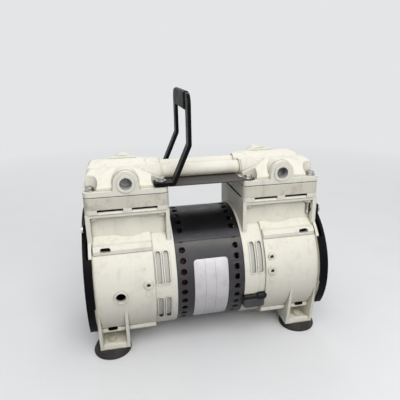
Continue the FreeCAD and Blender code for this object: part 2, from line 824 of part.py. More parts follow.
def housings():
    """Left housing with the sight hole and lower vents, right housing with its plug boss."""
    casting = housing_casting()
    sight = boss("sight", -S.sight_station, S.sight_rise, S.sight_lip_radius, S.sight_hole_radius,
                 S.sight_depth)
    small = [boss("ground", S.small_boss_station * side, S.small_boss_rise, S.small_boss_radius,
                  S.small_boss_bore, S.small_boss_depth) for side in (LEFT, RIGHT)]
    plug = boss("plug", S.small_boss_station, S.plug_boss_rise, S.plug_boss_radius,
                S.small_boss_bore, S.small_boss_depth)
    lower_vents = [mirrored("lower_vent", vent(*place)) for place in LOWER_VENT_PLACES]
    lower_rims = [mirrored("lower_vent_rim", vent_rim(*place)) for place in LOWER_VENT_PLACES]
    left = fuse("left_with_bosses", mirrored("left_casting", casting), sight[0], small[0][0],
                mark(LEFT), *lower_rims)
    publish(cut("left_finished", left, sight[1], small[0][1], *lower_vents), "housing_left")
    right = fuse("right_with_bosses", casting, small[1][0], plug[0], mark(RIGHT))
    publish(cut("right_finished", right, small[1][1], plug[1]), "housing_right")


def shell():
    """Rolled motor shell with two rows of vent holes and the lap of its sheet."""
    body = turned("shell_tube", "x", [
        (S.shell_half_length, SHELL_BORE), (S.shell_half_length, S.shell_radius),
        (-S.shell_half_length, S.shell_radius), (-S.shell_half_length, SHELL_BORE)], MOTOR_CENTRE)
    holes = origin_sketch(body, "shell_holes", "XY_Plane")
    for index, side in enumerate((LEFT, RIGHT)):
        station = S.shell_hole_station * side
        circle = Part.Circle(Vector(station.value, 0, 0), Vector(0, 0, 1), S.shell_hole_radius.value)
        holes.addGeometry(circle, False)
        holes.addConstraint(Sketcher.Constraint("PointOnObject", index, 3, -1))
        tie(holes, "DistanceX", index, 3, amount=station)
        tie(holes, "Radius", index, amount=S.shell_hole_radius)
    DOCUMENT.recompute()
    pocket = body.newObject("PartDesign::Pocket", "shell_hole_pocket")
    pocket.Profile = holes
    pocket.Reversed = True
    bind(pocket, "Length", S.shell_radius + S.shell_wall)
    DOCUMENT.recompute()
    pattern = body.newObject("PartDesign::PolarPattern", "shell_hole_pattern")
    pattern.Originals = [pocket]
    pattern.Axis = (holes, ["H_Axis"])
    pattern.Angle = 360
    bind(pattern, "Occurrences", size(360) / S.shell_hole_pitch)
    body.Tip = pattern
    body.Placement = Placement(Vector(), Rotation(Vector(1, 0, 0), S.shell_hole_turn.value))
    move(body, 0, *MOTOR_CENTRE)
    outer = S.shell_radius + S.lap_wall
    first, last = S.lap_first_angle, S.lap_last_angle
    lap = prism("shell_lap", "x", [
        (-outer * cosine(last), outer * sine(last), -outer),
        (-SHELL_BORE * cosine(last), SHELL_BORE * sine(last)),
        (-SHELL_BORE * cosine(first), SHELL_BORE * sine(first), SHELL_BORE),
        (-outer * cosine(first), outer * sine(first))], both_ways(S.shell_half_length))
    move(lap, -S.shell_half_length, *MOTOR_CENTRE)
    publish(fuse("shell_with_lap", body, lap), "motor_shell")


def long_bolt(place):
    """Bolt through both bearing webs, with a head at one end and a nut at the other."""
    reach = WEB_END + S.long_bolt_head_height
    heads = [cylinder("long_bolt_head", "x", place, S.long_bolt_head_radius,
                      ordered(side, WEB_END, reach)) for side in (LEFT, RIGHT)]
    return fuse("long_bolt", cylinder("long_bolt_shank", "x", place, S.long_bolt_radius,
                                      both_ways(reach)), *heads)


def motor_inside():
    """Stator core, its coil ends, the through bolts and the main bearings."""
    stack = both_ways(S.stator_half_length)
    bolt_holes = [cylinder("core_bolt_hole", "x", place, S.long_bolt_radius + S.screw_clearance, stack)
                  for place in BOLT_PLACES]
    ring = tube("core_ring", "x", MOTOR_CENTRE, SHELL_BORE - S.seat_clearance, S.stator_bore_radius,
                stack)
    publish(cut("core", ring, *bolt_holes), "stator_core")
    coil_end = S.stator_half_length + S.winding_reach
    publish(group("coil_ends", *(
        tube("coil_end", "x", MOTOR_CENTRE, S.winding_outer_radius, S.winding_inner_radius,
             ordered(side, S.stator_half_length, coil_end)) for side in (LEFT, RIGHT))), "windings")
    publish(group("long_bolts", *(long_bolt(place) for place in BOLT_PLACES)), "through_bolts")
    for side in (LEFT, RIGHT):
        publish(tube("main_bearing", "x", MOTOR_CENTRE, S.bearing_outer_radius,
                     S.shaft_radius + S.running_clearance,
                     ordered(side, S.bearing_inner_end, S.bearing_inner_end + S.bearing_width)),
                "main_bearing_" + NAMES[side])


def valve_plate():
    """Thick right-hand plate with the reed recess, valve holes and screw holes."""
    span = (S.tower_top, PLATE_TOP)
    recess = cylinder("reed_recess", "z", CYLINDER_CENTRE, S.bore_radius - S.valve_recess_inset,
                      (S.tower_top, S.tower_top + S.valve_recess_depth))
    holes = [cylinder("valve_hole", "z", (S.cylinder_station + S.valve_spacing / 2 * along, offset),
                      S.valve_hole_radius, span)
             for offset in (-S.intake_offset, S.exhaust_offset) for along in (-1, 1)]
    return cut("valve_plate", prism("valve_plate_blank", "z", FLANGE_OUTLINE, span), recess,
               *(holes + screw_holes("plate_screw_hole", span)))


def chamber(name, side, span):
    """Space of one head chamber over a height."""
    along = (S.cylinder_station - S.chamber_half_length, S.cylinder_station + S.chamber_half_length)
    return block(name, along, ordered(side, S.chamber_near, S.chamber_far), span)


def gasket():
    """Flat right-hand gasket with a window for each head chamber."""
    span = (PLATE_TOP, GASKET_TOP)
    windows = [chamber("gasket_window", side, span) for side in (FRONT, REAR)]
    return cut("gasket", prism("gasket_blank", "z", FLANGE_OUTLINE, span),
               *(windows + screw_holes("gasket_screw_hole", span)))


def head_lobes():
    """Body of the head: two crowned lobes with a soft valley, tapered down to the tube collars."""
    crown = FLANGE_TOP + S.lobe_height - S.lobe_radius
    shoulder_y = S.head_wall_front - S.shoulder_radius
    reach = S.lobe_radius - S.shoulder_radius
    lean = shoulder_y - S.lobe_offset
    rise = root(reach * reach - lean * lean)
    shoulder_z = crown + rise
    meet = (S.lobe_offset + lean * S.lobe_radius / reach, crown + rise * S.lobe_radius / reach)
    valley_reach = S.lobe_radius + S.valley_radius
    valley_rise = root(valley_reach * valley_reach - S.lobe_offset * S.lobe_offset)
    share = S.valley_radius / valley_reach
    valley = (S.lobe_offset * share, crown + valley_rise * (1 - share))
    outline = [(S.head_wall_front, FLANGE_TOP), (S.head_wall_front, shoulder_z),
               meet + (S.shoulder_radius,), valley + (S.lobe_radius,),
               (-valley[0], valley[1], -S.valley_radius), (-meet[0], meet[1], S.lobe_radius),
               (-S.head_wall_front, shoulder_z, S.shoulder_radius), (-S.head_wall_front, FLANGE_TOP)]
    start = S.head_body_inner + S.collar_step
    full = start + S.taper_length
    crowns = prism("head_crowns", "x", outline, (start, S.head_body_outer))
    tapers = [turned("lobe_taper", "x", [(start, 0), (start, S.taper_root_radius),
                                         (full, S.taper_end_radius), (full, 0)],
                     (S.tube_offset * side, TUBE_Z)) for side in (FRONT, REAR)]
    top = FLANGE_TOP + S.lobe_height
    side_view = [(full, FLANGE_TOP), (S.head_body_outer, FLANGE_TOP),
                 (S.head_body_outer, top - S.outer_shoulder_radius),
                 (S.head_body_outer - S.outer_shoulder_radius, top, S.outer_shoulder_radius), (full, top)]
    outer = prism("lobe_side_view", "y", side_view, both_ways(S.head_wall_front))
    return common("head_lobes", crowns, fuse("lobe_limits", outer, *tapers))


def screw_pockets():
    """Round pockets at the four corners of the head body that clear the screws."""
    height = (FLANGE_TOP, FLANGE_TOP + S.apron_height)
    return [cylinder("screw_pocket", "z", place,
                     S.inner_pocket_radius if place in INNER_SCREWS else S.outer_pocket_radius, height)
            for place in SCREW_PLACES]


def port_pad(side):
    """D-shaped pad that brings a port out flush with the flange."""
    half, middle = S.port_pad_half_width, S.cylinder_station
    outline = [(middle + half + S.port_pad_flare, GASKET_TOP), (middle + half, PORT_Z),
               (middle, PORT_Z + half, half), (middle - half, PORT_Z, half),
               (middle - half - S.port_pad_flare, GASKET_TOP)]
    return prism("port_pad", "y", outline, ordered(side, TOWER_HALF - S.port_pad_thickness, TOWER_HALF))


def apron(side):
    """Gable that slopes from the edge of the flange up to the lobes, round a port."""
    along = (S.cylinder_station - S.apron_half_width, S.cylinder_station + S.apron_half_width)
    top = FLANGE_TOP + S.apron_height
    section = [(S.apron_front * side, FLANGE_TOP), (S.apron_front * side, FLANGE_TOP + S.apron_step),
               (S.apron_shoulder * side, top), (S.apron_back * side, top),
               (S.apron_back * side, FLANGE_TOP)]
    gable = [(along[0], FLANGE_TOP), (along[1], FLANGE_TOP), (along[1], FLANGE_TOP + S.apron_outer_foot),
             (S.cylinder_station + S.apron_top_half_width, top),
             (S.cylinder_station - S.apron_top_half_width, top),
             (along[0], FLANGE_TOP + S.apron_inner_foot)]
    return common("apron", prism("apron_slope", "x", section, along),
                  prism("apron_gable", "y", gable, ordered(side, S.apron_back, S.apron_front)))


def head():
    """Cast right-hand head: flange, lobes, aprons, ports with pads, chambers and tube sockets."""
    flange = prism("head_flange", "z", FLANGE_OUTLINE, (GASKET_TOP, FLANGE_TOP))
    lobes = cut("head_with_pockets", fuse("head_body", head_lobes(), apron(FRONT), apron(REAR)),
                *screw_pockets())
    port_place = (S.cylinder_station, PORT_Z)
    rim_face = TOWER_HALF + S.port_rim_step
    additions, openings = [], []
    for side in (FRONT, REAR):
        tube_place = (S.tube_offset * side, TUBE_Z)
        port_end = rim_face - S.port_depth
        additions += [port_pad(side),
                      cylinder("tube_collar", "x", tube_place, S.collar_radius,
                               (S.head_body_inner, S.head_body_inner + S.collar_length)),
                      cylinder("port_boss", "y", port_place, S.port_boss_radius,
                               ordered(side, S.port_boss_root, S.port_boss_reach)),
                      cylinder("port_rim", "y", port_place, S.port_rim_radius,
                               ordered(side, S.port_boss_reach, rim_face))]
        seal = S.head_body_inner + S.seal_inset
        openings += [cylinder("port_bore", "y", port_place, S.port_radius,
                              ordered(side, port_end, rim_face)),
                     cylinder("port_passage", "y", port_place, S.port_passage_radius,
                              ordered(side, port_end - S.port_passage_reach, port_end)),
                     chamber("head_chamber", side, (GASKET_TOP, GASKET_TOP + S.chamber_depth)),
                     cylinder("tube_socket", "x", tube_place, S.tube_radius + S.seat_clearance,
                              (S.head_body_inner, S.head_body_inner + S.tube_engagement)),
                     cylinder("seal_groove", "x", tube_place,
                              S.tube_radius + S.seal_wall + S.seat_clearance,
                              (seal, seal + S.seal_width)),
                     cylinder("tube_passage", "x", tube_place, S.tube_radius - S.tube_wall,
                              (S.head_body_inner, S.cylinder_station - S.chamber_half_length / 2))]
    openings += screw_holes("head_screw_pass", (GASKET_TOP, FLANGE_TOP))
    openings.append(block("room_under_head", (TOWER_INNER, TOWER_OUTER), both_ways(rim_face),
                          (S.tower_top, GASKET_TOP)))
    return cut("head", fuse("head_solid", flange, lobes, *additions), *openings)


def head_screw(place, seat):
    """Hexagon screw on a washer, its head on a seat and its shank down into the lug."""
    head_low = seat + S.washer_thickness
    return fuse("head_screw",
                cylinder("screw_shank", "z", place, S.screw_radius, (LUG_UNDERSIDE, head_low)),
                cylinder("screw_washer", "z", place, S.washer_radius, (seat, head_low)),
                hexagon("screw_hex", place, S.screw_across_flats,
                        (head_low, head_low + S.screw_head_height)))


def heads_and_plates():
    """Valve plates, gaskets and heads of both sides, with the screws that hold them."""
    for maker, name in ((valve_plate, "valve_plate_"), (gasket, "head_gasket_"), (head, "head_")):
        piece = maker()
        publish(piece, name + "right")
        publish(mirrored(name + "mirrored", piece), name + "left")
    screws = []
    for x, y in SCREW_PLACES:
        inner = x.value < S.cylinder_station.value
        screws.append(head_screw((x, y), BRIDGE_TOP if inner else FLANGE_TOP))
        screws.append(head_screw((-x, y), STRAP_TOP if inner else FLANGE_TOP))
    publish(group("screws", *screws), "head_screws")


def cylinders():
    """Sleeves in the towers and the seal ring in the groove of each."""
    outer = S.bore_radius + S.sleeve_wall
    groove_low = SLEEVE_LOW + S.ring_groove_height
    groove = (groove_low, groove_low + S.ring_groove_width)
    rings = []
    for side in (LEFT, RIGHT):
        centre = (S.cylinder_station * side, 0)
        channel = tube("sleeve_groove", "z", centre, outer, outer - S.ring_groove_depth, groove)
        sleeve = tube("sleeve_tube", "z", centre, outer, S.bore_radius, (SLEEVE_LOW, S.tower_top))
        publish(cut("sleeve", sleeve, channel), "cylinder_" + NAMES[side])
        rings.append(tube("sleeve_ring", "z", centre, outer,
                          outer - S.ring_groove_depth + S.seat_clearance,
                          (groove[0] + S.seat_clearance, groove[1] - S.seat_clearance)))
    publish(group("sleeve_rings", *rings), "cylinder_seals")


def reed(x, y, direction, low):
    """Leaf valve: a narrow spring strip over one valve hole, pointing front or rear."""
    half = S.reed_width / 2
    near, far = ordered(direction, -half, S.reed_length - half)
    return slot("reed", "z", (x - half, x + half), (y + near, y + far), (low, low + S.reed_thickness))


def reeds():
    """Intake reeds under the valve plates, exhaust reeds and their screws on top of them."""
    ceiling = S.tower_top + S.valve_recess_depth
    intake, exhaust, screws = [], [], []
    for side in (LEFT, RIGHT):
        for along in (-1, 1):
            x = S.cylinder_station * side + S.valve_spacing / 2 * along
            intake.append(reed(x, -S.intake_offset, REAR, ceiling - S.reed_thickness))
            exhaust.append(reed(x, S.exhaust_offset, FRONT, PLATE_TOP))
            screw_y = S.exhaust_offset - S.reed_length + S.reed_width
            screws.append(cylinder("reed_screw", "z", (x, screw_y), S.reed_screw_radius,
                                   (PLATE_TOP + S.reed_thickness,
                                    PLATE_TOP + S.reed_thickness + S.reed_screw_height)))
    publish(group("intake_leaves", *intake), "intake_reeds")
    publish(group("exhaust_leaves", *exhaust), "exhaust_reeds")
    publish(group("reed_heads", *screws), "reed_screws")


def transfer_tubes():
    """Two tubes between the heads and the seals in their sockets."""
    reach = S.head_body_inner + S.tube_engagement
    inner = S.tube_radius - S.tube_wall
    seal = S.head_body_inner + S.seal_inset
    rings = []
    for side, name in ((FRONT, "tube_front"), (REAR, "tube_rear")):
        place = (S.tube_offset * side, TUBE_Z)
        publish(turned(name + "_pipe", "x", [(reach, inner), (reach, S.tube_radius),
                                             (-reach, S.tube_radius), (-reach, inner)], place), name)
        rings += [tube("tube_seal", "x", place, S.tube_radius + S.seal_wall,
                       S.tube_radius + S.seat_clearance, ordered(end, seal, seal + S.seal_width))
                  for end in (LEFT, RIGHT)]
    publish(group("seal_rings", *rings), "tube_seals")


def bridge_plate():
    """Formed plate under the tubes, with a shallow channel for them and four ears."""
    low, high = FLANGE_TOP, BRIDGE_TOP
    outer, inner = S.channel_half_width, S.channel_half_width - S.channel_slope
    drop, half = S.channel_drop, S.bridge_half_depth
    section = [(-half, low), (-outer, low), (-inner, low - drop), (inner, low - drop), (outer, low),
               (half, low), (half, high), (outer, high), (inner, high - drop), (-inner, high - drop),
               (-outer, high), (-half, high)]
    middle = prism("bridge_middle", "x", section, both_ways(TOWER_INNER - S.bridge_end_gap))
    span = (low, high)
    edge = S.head_body_inner - S.bridge_end_gap
    additions, holes = [middle], []
    for x, y in INNER_SCREWS:
        for end in (LEFT, RIGHT):
            additions.append(cylinder("bridge_ear", "z", (x * end, y), S.bridge_ear_radius, span))
            additions.append(block("bridge_neck", ordered(end, edge - S.bridge_ear_radius, x),
                                   (y - S.bridge_neck_half, y + S.bridge_neck_half), span))
            holes.append(cylinder("bridge_hole", "z", (x * end, y), S.screw_radius + S.screw_clearance,
                                  span))
    publish(cut("bridge", fuse("bridge_blank", *additions), *holes), "bridge_plate")


def handle_side_view():
    """Bent strap seen from the front: foot, leaning leg and upright, with round bends."""
    strap, lean = S.strap_thickness, S.handle_lean
    upright_turn = size(90) - lean
    inner, outer = S.strap_bend_radius, S.strap_bend_radius + S.strap_thickness
    knee = BRIDGE_TOP + (S.handle_heel - S.handle_plane) * tangent(lean)
    heel_inside = S.handle_heel + strap * tangent(lean / 2)
    knee_inside = knee + strap * tangent(upright_turn / 2)

    def along(amount):
        """Steps across and up along the leaning leg."""
        return amount * cosine(lean), amount * sine(lean)

    heel_out, heel_in = outer * tangent(lean / 2), inner * tangent(lean / 2)
    knee_out, knee_in = outer * tangent(upright_turn / 2), inner * tangent(upright_turn / 2)
    plane_inside = S.handle_plane + strap
    return [
        (-S.handle_heel - heel_out, BRIDGE_TOP),
        (-S.handle_heel + along(heel_out)[0], BRIDGE_TOP + along(heel_out)[1], outer),
        (-S.handle_plane - along(knee_out)[0], knee - along(knee_out)[1]),
        (-S.handle_plane, knee + knee_out, outer),
        (-S.handle_plane, S.handle_top),
        (-plane_inside, S.handle_top),
        (-plane_inside, knee_inside + knee_in),
        (-plane_inside - along(knee_in)[0], knee_inside - along(knee_in)[1], -inner),
        (-heel_inside + along(heel_in)[0], STRAP_TOP + along(heel_in)[1]),
        (-heel_inside - heel_in, STRAP_TOP, -inner),
        (-S.handle_toe, STRAP_TOP),
        (-S.handle_toe, BRIDGE_TOP)]


def handle():
    """U-shaped handle bent from one plate, and the sleeve round its crossbar."""
    half, corner, top = S.handle_half_depth, S.handle_corner_radius, S.handle_top
    behind = (-S.handle_toe - S.strap_thickness, size(0))
    strip = prism("handle_strip", "y", handle_side_view(), both_ways(half))
    outline = prism("handle_outline", "x", [
        (half, BRIDGE_TOP), (half, top - corner), (half - corner, top, corner),
        (corner - half, top), (-half, top - corner, corner), (-half, BRIDGE_TOP)], behind)
    window = prism("handle_window", "x", rounded_rectangle(
        both_ways(half - S.handle_leg_width), (FLANGE_TOP - S.handle_window_radius * 2,
                                               top - S.handle_bar_height), S.handle_window_radius),
        behind)
    holes = [cylinder("handle_hole", "z", (-x, y), S.screw_radius + S.screw_clearance,
                      (BRIDGE_TOP, STRAP_TOP)) for x, y in INNER_SCREWS]
    publish(cut("handle_frame", common("handle_bent", strip, outline), window, *holes), "handle")

    gap, wall, low = S.seat_clearance, S.grip_wall, top - S.handle_bar_height
    back = -S.handle_plane - S.strap_thickness
    outside = rounded_rectangle((back - gap - wall, -S.handle_plane + gap + wall),
                                (low - gap - wall, top + gap + wall), S.grip_corner_radius)
    inside = [(back - gap, low - gap), (-S.handle_plane + gap, low - gap),
              (-S.handle_plane + gap, top + gap), (back - gap, top + gap)]
    publish(prism("grip_sleeve", "y", outside, both_ways(S.grip_half_length), inside), "handle_grip")


def guard_screw_places():
    """Places of the guard screws: two in the tower, two in the rim."""
    middle = (S.crank_bore_radius + S.rim_radius) / 2
    across = middle * cosine(S.guard_lower_screw_angle)
    low = S.axis_height - middle * sine(S.guard_lower_screw_angle)
    upper = [(S.guard_upper_screw_offset * side, S.guard_upper_screw_height) for side in (FRONT, REAR)]
    return upper + [(across * side, low) for side in (FRONT, REAR)]


def spoke(index, face):
    """One radial bar of the grille."""
    angle = size(360) * index / S.grille_spoke_count
    half = S.grille_spoke_width / 2
    bar = block("grille_spoke", face, both_ways(half), (size(0), S.guard_radius - S.guard_wall))
    bar.Placement = Placement(Vector(), Rotation(Vector(1, 0, 0), angle.value))
    move(bar, face[0], -half * cosine(angle), S.axis_height - half * sine(angle))
    return bar


def fan_guard():
    """Right-hand guard: a shallow cup with a ring grille, an upper ear and screw standoffs."""
    face = (S.guard_last - S.guard_wall, S.guard_last)
    inner = S.guard_radius - S.guard_wall
    seat = TOWER_OUTER + S.seat_clearance
    ear_end = TOWER_OUTER + S.guard_ear_reach
    openings = [cylinder("guard_room", "x", MOTOR_CENTRE, inner, (S.guard_first, face[0]))]
    for ring in range(round(S.grille_ring_count.value)):
        low = S.grille_hub_radius + S.grille_ring_pitch * ring
        openings.append(tube("grille_gap", "x", MOTOR_CENTRE,
                             low + S.grille_ring_pitch - S.grille_ring_width, low, face))
    cup = cut("guard_cup", cylinder("guard_drum", "x", MOTOR_CENTRE, S.guard_radius,
                                    (S.guard_first, S.guard_last)), *openings)
    spokes = [spoke(index, face) for index in range(round(S.grille_spoke_count.value))]
    places = guard_screw_places()
    standoffs = [cylinder("guard_standoff", "x", place, S.guard_standoff_radius, (seat, S.guard_last))
                 for place in places[2:]]
    width = root(S.guard_radius * S.guard_radius
                 - (S.axis_height - S.guard_floor) * (S.axis_height - S.guard_floor))
    sill = block("guard_sill", (seat, S.guard_last), both_ways(width),
                 (S.guard_floor, S.guard_floor + S.guard_wall))
    ear = cut("guard_ear", block("ear_block", (seat, ear_end), both_ways(S.guard_ear_half_width),
                                 (S.guard_ear_low, S.guard_ear_top)),
              block("ear_room", (seat, ear_end - S.guard_wall), both_ways(S.duct_half_width),
                    (S.guard_ear_low, S.guard_ear_top - S.guard_wall)))
    rooms = [block("room_below", (S.guard_first, S.guard_last), both_ways(S.guard_radius),
                   (S.axis_height - S.guard_radius, S.guard_floor)),
             block("room_for_tower", (S.guard_first, seat), both_ways(TOWER_HALF + S.end_play),
                   (S.guard_notch_low, S.axis_height + S.guard_radius)),
             block("room_for_bracket", (S.guard_first, S.bracket_outer + S.end_play),
                   both_ways(S.guard_radius), (S.guard_floor, S.bracket_shoulder_height + S.end_play)),
             block("room_in_ear", (seat, face[0]), both_ways(S.duct_half_width),
                   (S.axis_height, S.guard_ear_low + S.guard_wall))]
    rooms += [block("guard_notch", (S.guard_first, S.guard_notch_last),
                    ordered(side, S.guard_ear_half_width, S.guard_radius),
                    (S.guard_notch_low, S.guard_notch_high)) for side in (FRONT, REAR)]
    holes = [cylinder("guard_hole", "x", place, S.guard_screw_radius + S.screw_clearance,
                      (seat, S.guard_last)) for place in places]
    holes += [cylinder("guard_counterbore", "x", place, S.guard_screw_head_radius + S.screw_clearance,
                       (S.guard_last - S.guard_screw_head_height, S.guard_last))
              for place in places[2:]]
    blank = fuse("guard_blank", cup, ear, sill, *(spokes + standoffs))
    return cut("fan_guard", blank, *(rooms + holes))


def guards():
    """Guards at both ends and the screws that hold them."""
    guard = fan_guard()
    publish(guard, "fan_guard_right")
    publish(mirrored("guard_mirrored", guard), "fan_guard_left")
    faces = [TOWER_OUTER + S.guard_ear_reach] * 2 + [S.guard_last - S.guard_screw_head_height] * 2
    screws = []
    for side in (LEFT, RIGHT):
        for place, face in zip(guard_screw_places(), faces):
            screws.append(fuse("guard_screw",
                               cylinder("guard_screw_shank", "x", place, S.guard_screw_radius,
                                        ordered(side, CASE_END, face)),
                               cylinder("guard_screw_head", "x", place, S.guard_screw_head_radius,
                                        ordered(side, face, face + S.guard_screw_head_height))))
    publish(group("guard_fixings", *screws), "guard_screws")


def feet():
    """Four rubber feet with a screw and nut through each."""
    profile = [(S.foot_height, S.foot_screw_radius + S.seat_clearance), (S.foot_height, S.foot_top_radius),
               (S.foot_wall_height, S.foot_radius - S.foot_chamfer),
               (S.foot_chamfer, S.foot_radius), (size(0), S.foot_radius - S.foot_chamfer),
               (size(0), S.foot_recess_radius), (S.foot_recess_depth, S.foot_recess_radius),
               (S.foot_recess_depth, S.foot_screw_radius + S.seat_clearance)]
    screws = []
    nut_low = S.foot_height + S.bracket_floor
    nut_high = nut_low + S.screw_head_height
    for side in (LEFT, RIGHT):
        for edge, edge_name in ((FRONT, "front_"), (REAR, "rear_")):
            place = (S.foot_station * side, S.foot_offset * edge)
            publish(turned("foot_pad", "z", profile, place), "foot_" + edge_name + NAMES[side])
            screws.append(fuse("foot_screw",
                               cylinder("foot_screw_head", "z", place, S.foot_screw_head_radius,
                                        (S.foot_recess_depth - S.foot_screw_head_height,
                                         S.foot_recess_depth)),
                               cylinder("foot_screw_shank", "z", place, S.foot_screw_radius,
                                        (S.foot_recess_depth, nut_high)),
                               hexagon("foot_nut", place, S.screw_across_flats, (nut_low, nut_high))))
    publish(group("foot_fixings", *screws), "foot_screws")


def gland():
    """Moulded lead-in cover on the front of the right-hand motor ring."""
    shape = prism("gland_block", "y", rounded_rectangle(
        (S.gland_first, S.gland_last), (S.gland_low, S.gland_high), S.gland_corner_radius),
        (-S.gland_front, -S.gland_back))
    behind = [cylinder("gland_seat", "x", MOTOR_CENTRE, radius + S.seat_clearance, span)
              for radius, span in ((S.shell_radius, (size(0), S.shell_half_length)),
                                   (S.ring_radius, (S.shell_half_length, S.ring_end)),
                                   (S.case_radius, (S.ring_end, CASE_END)))]
    publish(cut("gland", shape, *behind), "cable_gland")


def crankshaft():
    """Shaft with its shoulders, and the rotor pressed on it."""
    shoulder = S.bearing_inner_end - S.end_play
    publish(turned("shaft", "x", [
        (S.shaft_half_length, size(0)), (S.shaft_half_length, S.shaft_radius),
        (shoulder, S.shaft_radius), (shoulder, S.shaft_shoulder_radius),
        (-shoulder, S.shaft_shoulder_radius), (-shoulder, S.shaft_radius),
        (-S.shaft_half_length, S.shaft_radius), (-S.shaft_half_length, size(0))], MOTOR_CENTRE),
        "motor_shaft")
    bore = S.shaft_shoulder_radius + S.seat_clearance
    outer, stack = S.stator_bore_radius - S.air_gap, S.stator_half_length
    end = stack + S.end_ring_height
    publish(turned("rotor_body", "x", [
        (stack, bore), (stack, S.end_ring_inner_radius), (end, S.end_ring_inner_radius),
        (end, outer - S.end_ring_height), (stack, outer), (-stack, outer),
        (-end, outer - S.end_ring_height), (-end, S.end_ring_inner_radius),
        (-stack, S.end_ring_inner_radius), (-stack, bore)], MOTOR_CENTRE), "rotor")


def eccentric(side):
    """Eccentric with its counterweight on the other side of the shaft; also the set screw."""
    lift = S.throw * -side
    axis = (0, S.axis_height + lift)
    half = S.eccentric_width / 2
    pin_span = ordered(side, S.cylinder_station - half, S.cylinder_station + half)
    plate_end = S.cylinder_station - half
    plate_span = ordered(side, plate_end - S.counterweight_thickness, plate_end)
    up = side
    weight = common("weight_half",
                    cylinder("weight_disc", "x", MOTOR_CENTRE, S.counterweight_radius, plate_span),
                    block("weight_limit", plate_span, both_ways(S.counterweight_radius),
                          (S.axis_height + ordered(up, size(0), S.counterweight_radius)[0],
                           S.axis_height + ordered(up, size(0), S.counterweight_radius)[1])))
    hub = cylinder("weight_hub", "x", MOTOR_CENTRE, S.counterweight_hub_radius, plate_span)
    pin = cylinder("eccentric_pin", "x", axis, S.eccentric_radius, pin_span)
    whole = (min(plate_span[0], pin_span[0], key=lambda end: end.value),
             max(plate_span[1], pin_span[1], key=lambda end: end.value))
    shaft_hole = cylinder("eccentric_bore", "x", MOTOR_CENTRE, S.shaft_radius + S.seat_clearance, whole)
    screw_x = (plate_end - S.counterweight_thickness / 2) * side
    start = S.shaft_radius + S.seat_clearance
    near, far = ordered(up, start, S.counterweight_radius)
    screw_hole = cylinder("set_screw_hole", "z", (screw_x, 0), S.set_screw_radius + S.seat_clearance,
                          (S.axis_height + near, S.axis_height + far))
    publish(cut("eccentric", fuse("eccentric_blank", weight, hub, pin), shaft_hole, screw_hole),
            "eccentric_" + NAMES[side])
    near, far = ordered(up, start, start + S.set_screw_length)
    return cylinder("set_screw", "z", (screw_x, 0), S.set_screw_radius,
                    (S.axis_height + near, S.axis_height + far))


def fan(side):
    """Straight-bladed fan on the end of the shaft."""
    first, last = S.fan_first, S.fan_last
    body = turned("fan_hub", "x", [(last, size(0)), (last, S.fan_hub_radius),
                                   (first, S.fan_hub_radius), (first, size(0))], MOTOR_CENTRE)
    section = origin_sketch(body, "blade_section", "XY_Plane")
    half, slant = S.fan_blade_half_thickness, S.fan_blade_slant
    draw(section, [(first, -slant - half), (last, slant - half), (last, slant + half),
                   (first, half - slant)])
    blade = body.newObject("PartDesign::Pad", "blade_pad")
    blade.Profile = section
    bind(blade, "Length", S.fan_radius)
    DOCUMENT.recompute()
    pattern = body.newObject("PartDesign::PolarPattern", "blade_pattern")
    pattern.Originals = [blade]
    pattern.Axis = (section, ["H_Axis"])
    pattern.Angle = 360
    bind(pattern, "Occurrences", S.fan_blade_count)
    body.Tip = pattern
    bored = cut("fan", body, cylinder("fan_bore", "x", MOTOR_CENTRE,
                                      S.shaft_radius + S.seat_clearance, (first, last)))
    publish(bored if side > 0 else mirrored("fan_mirrored", bored), "fan_" + NAMES[side])


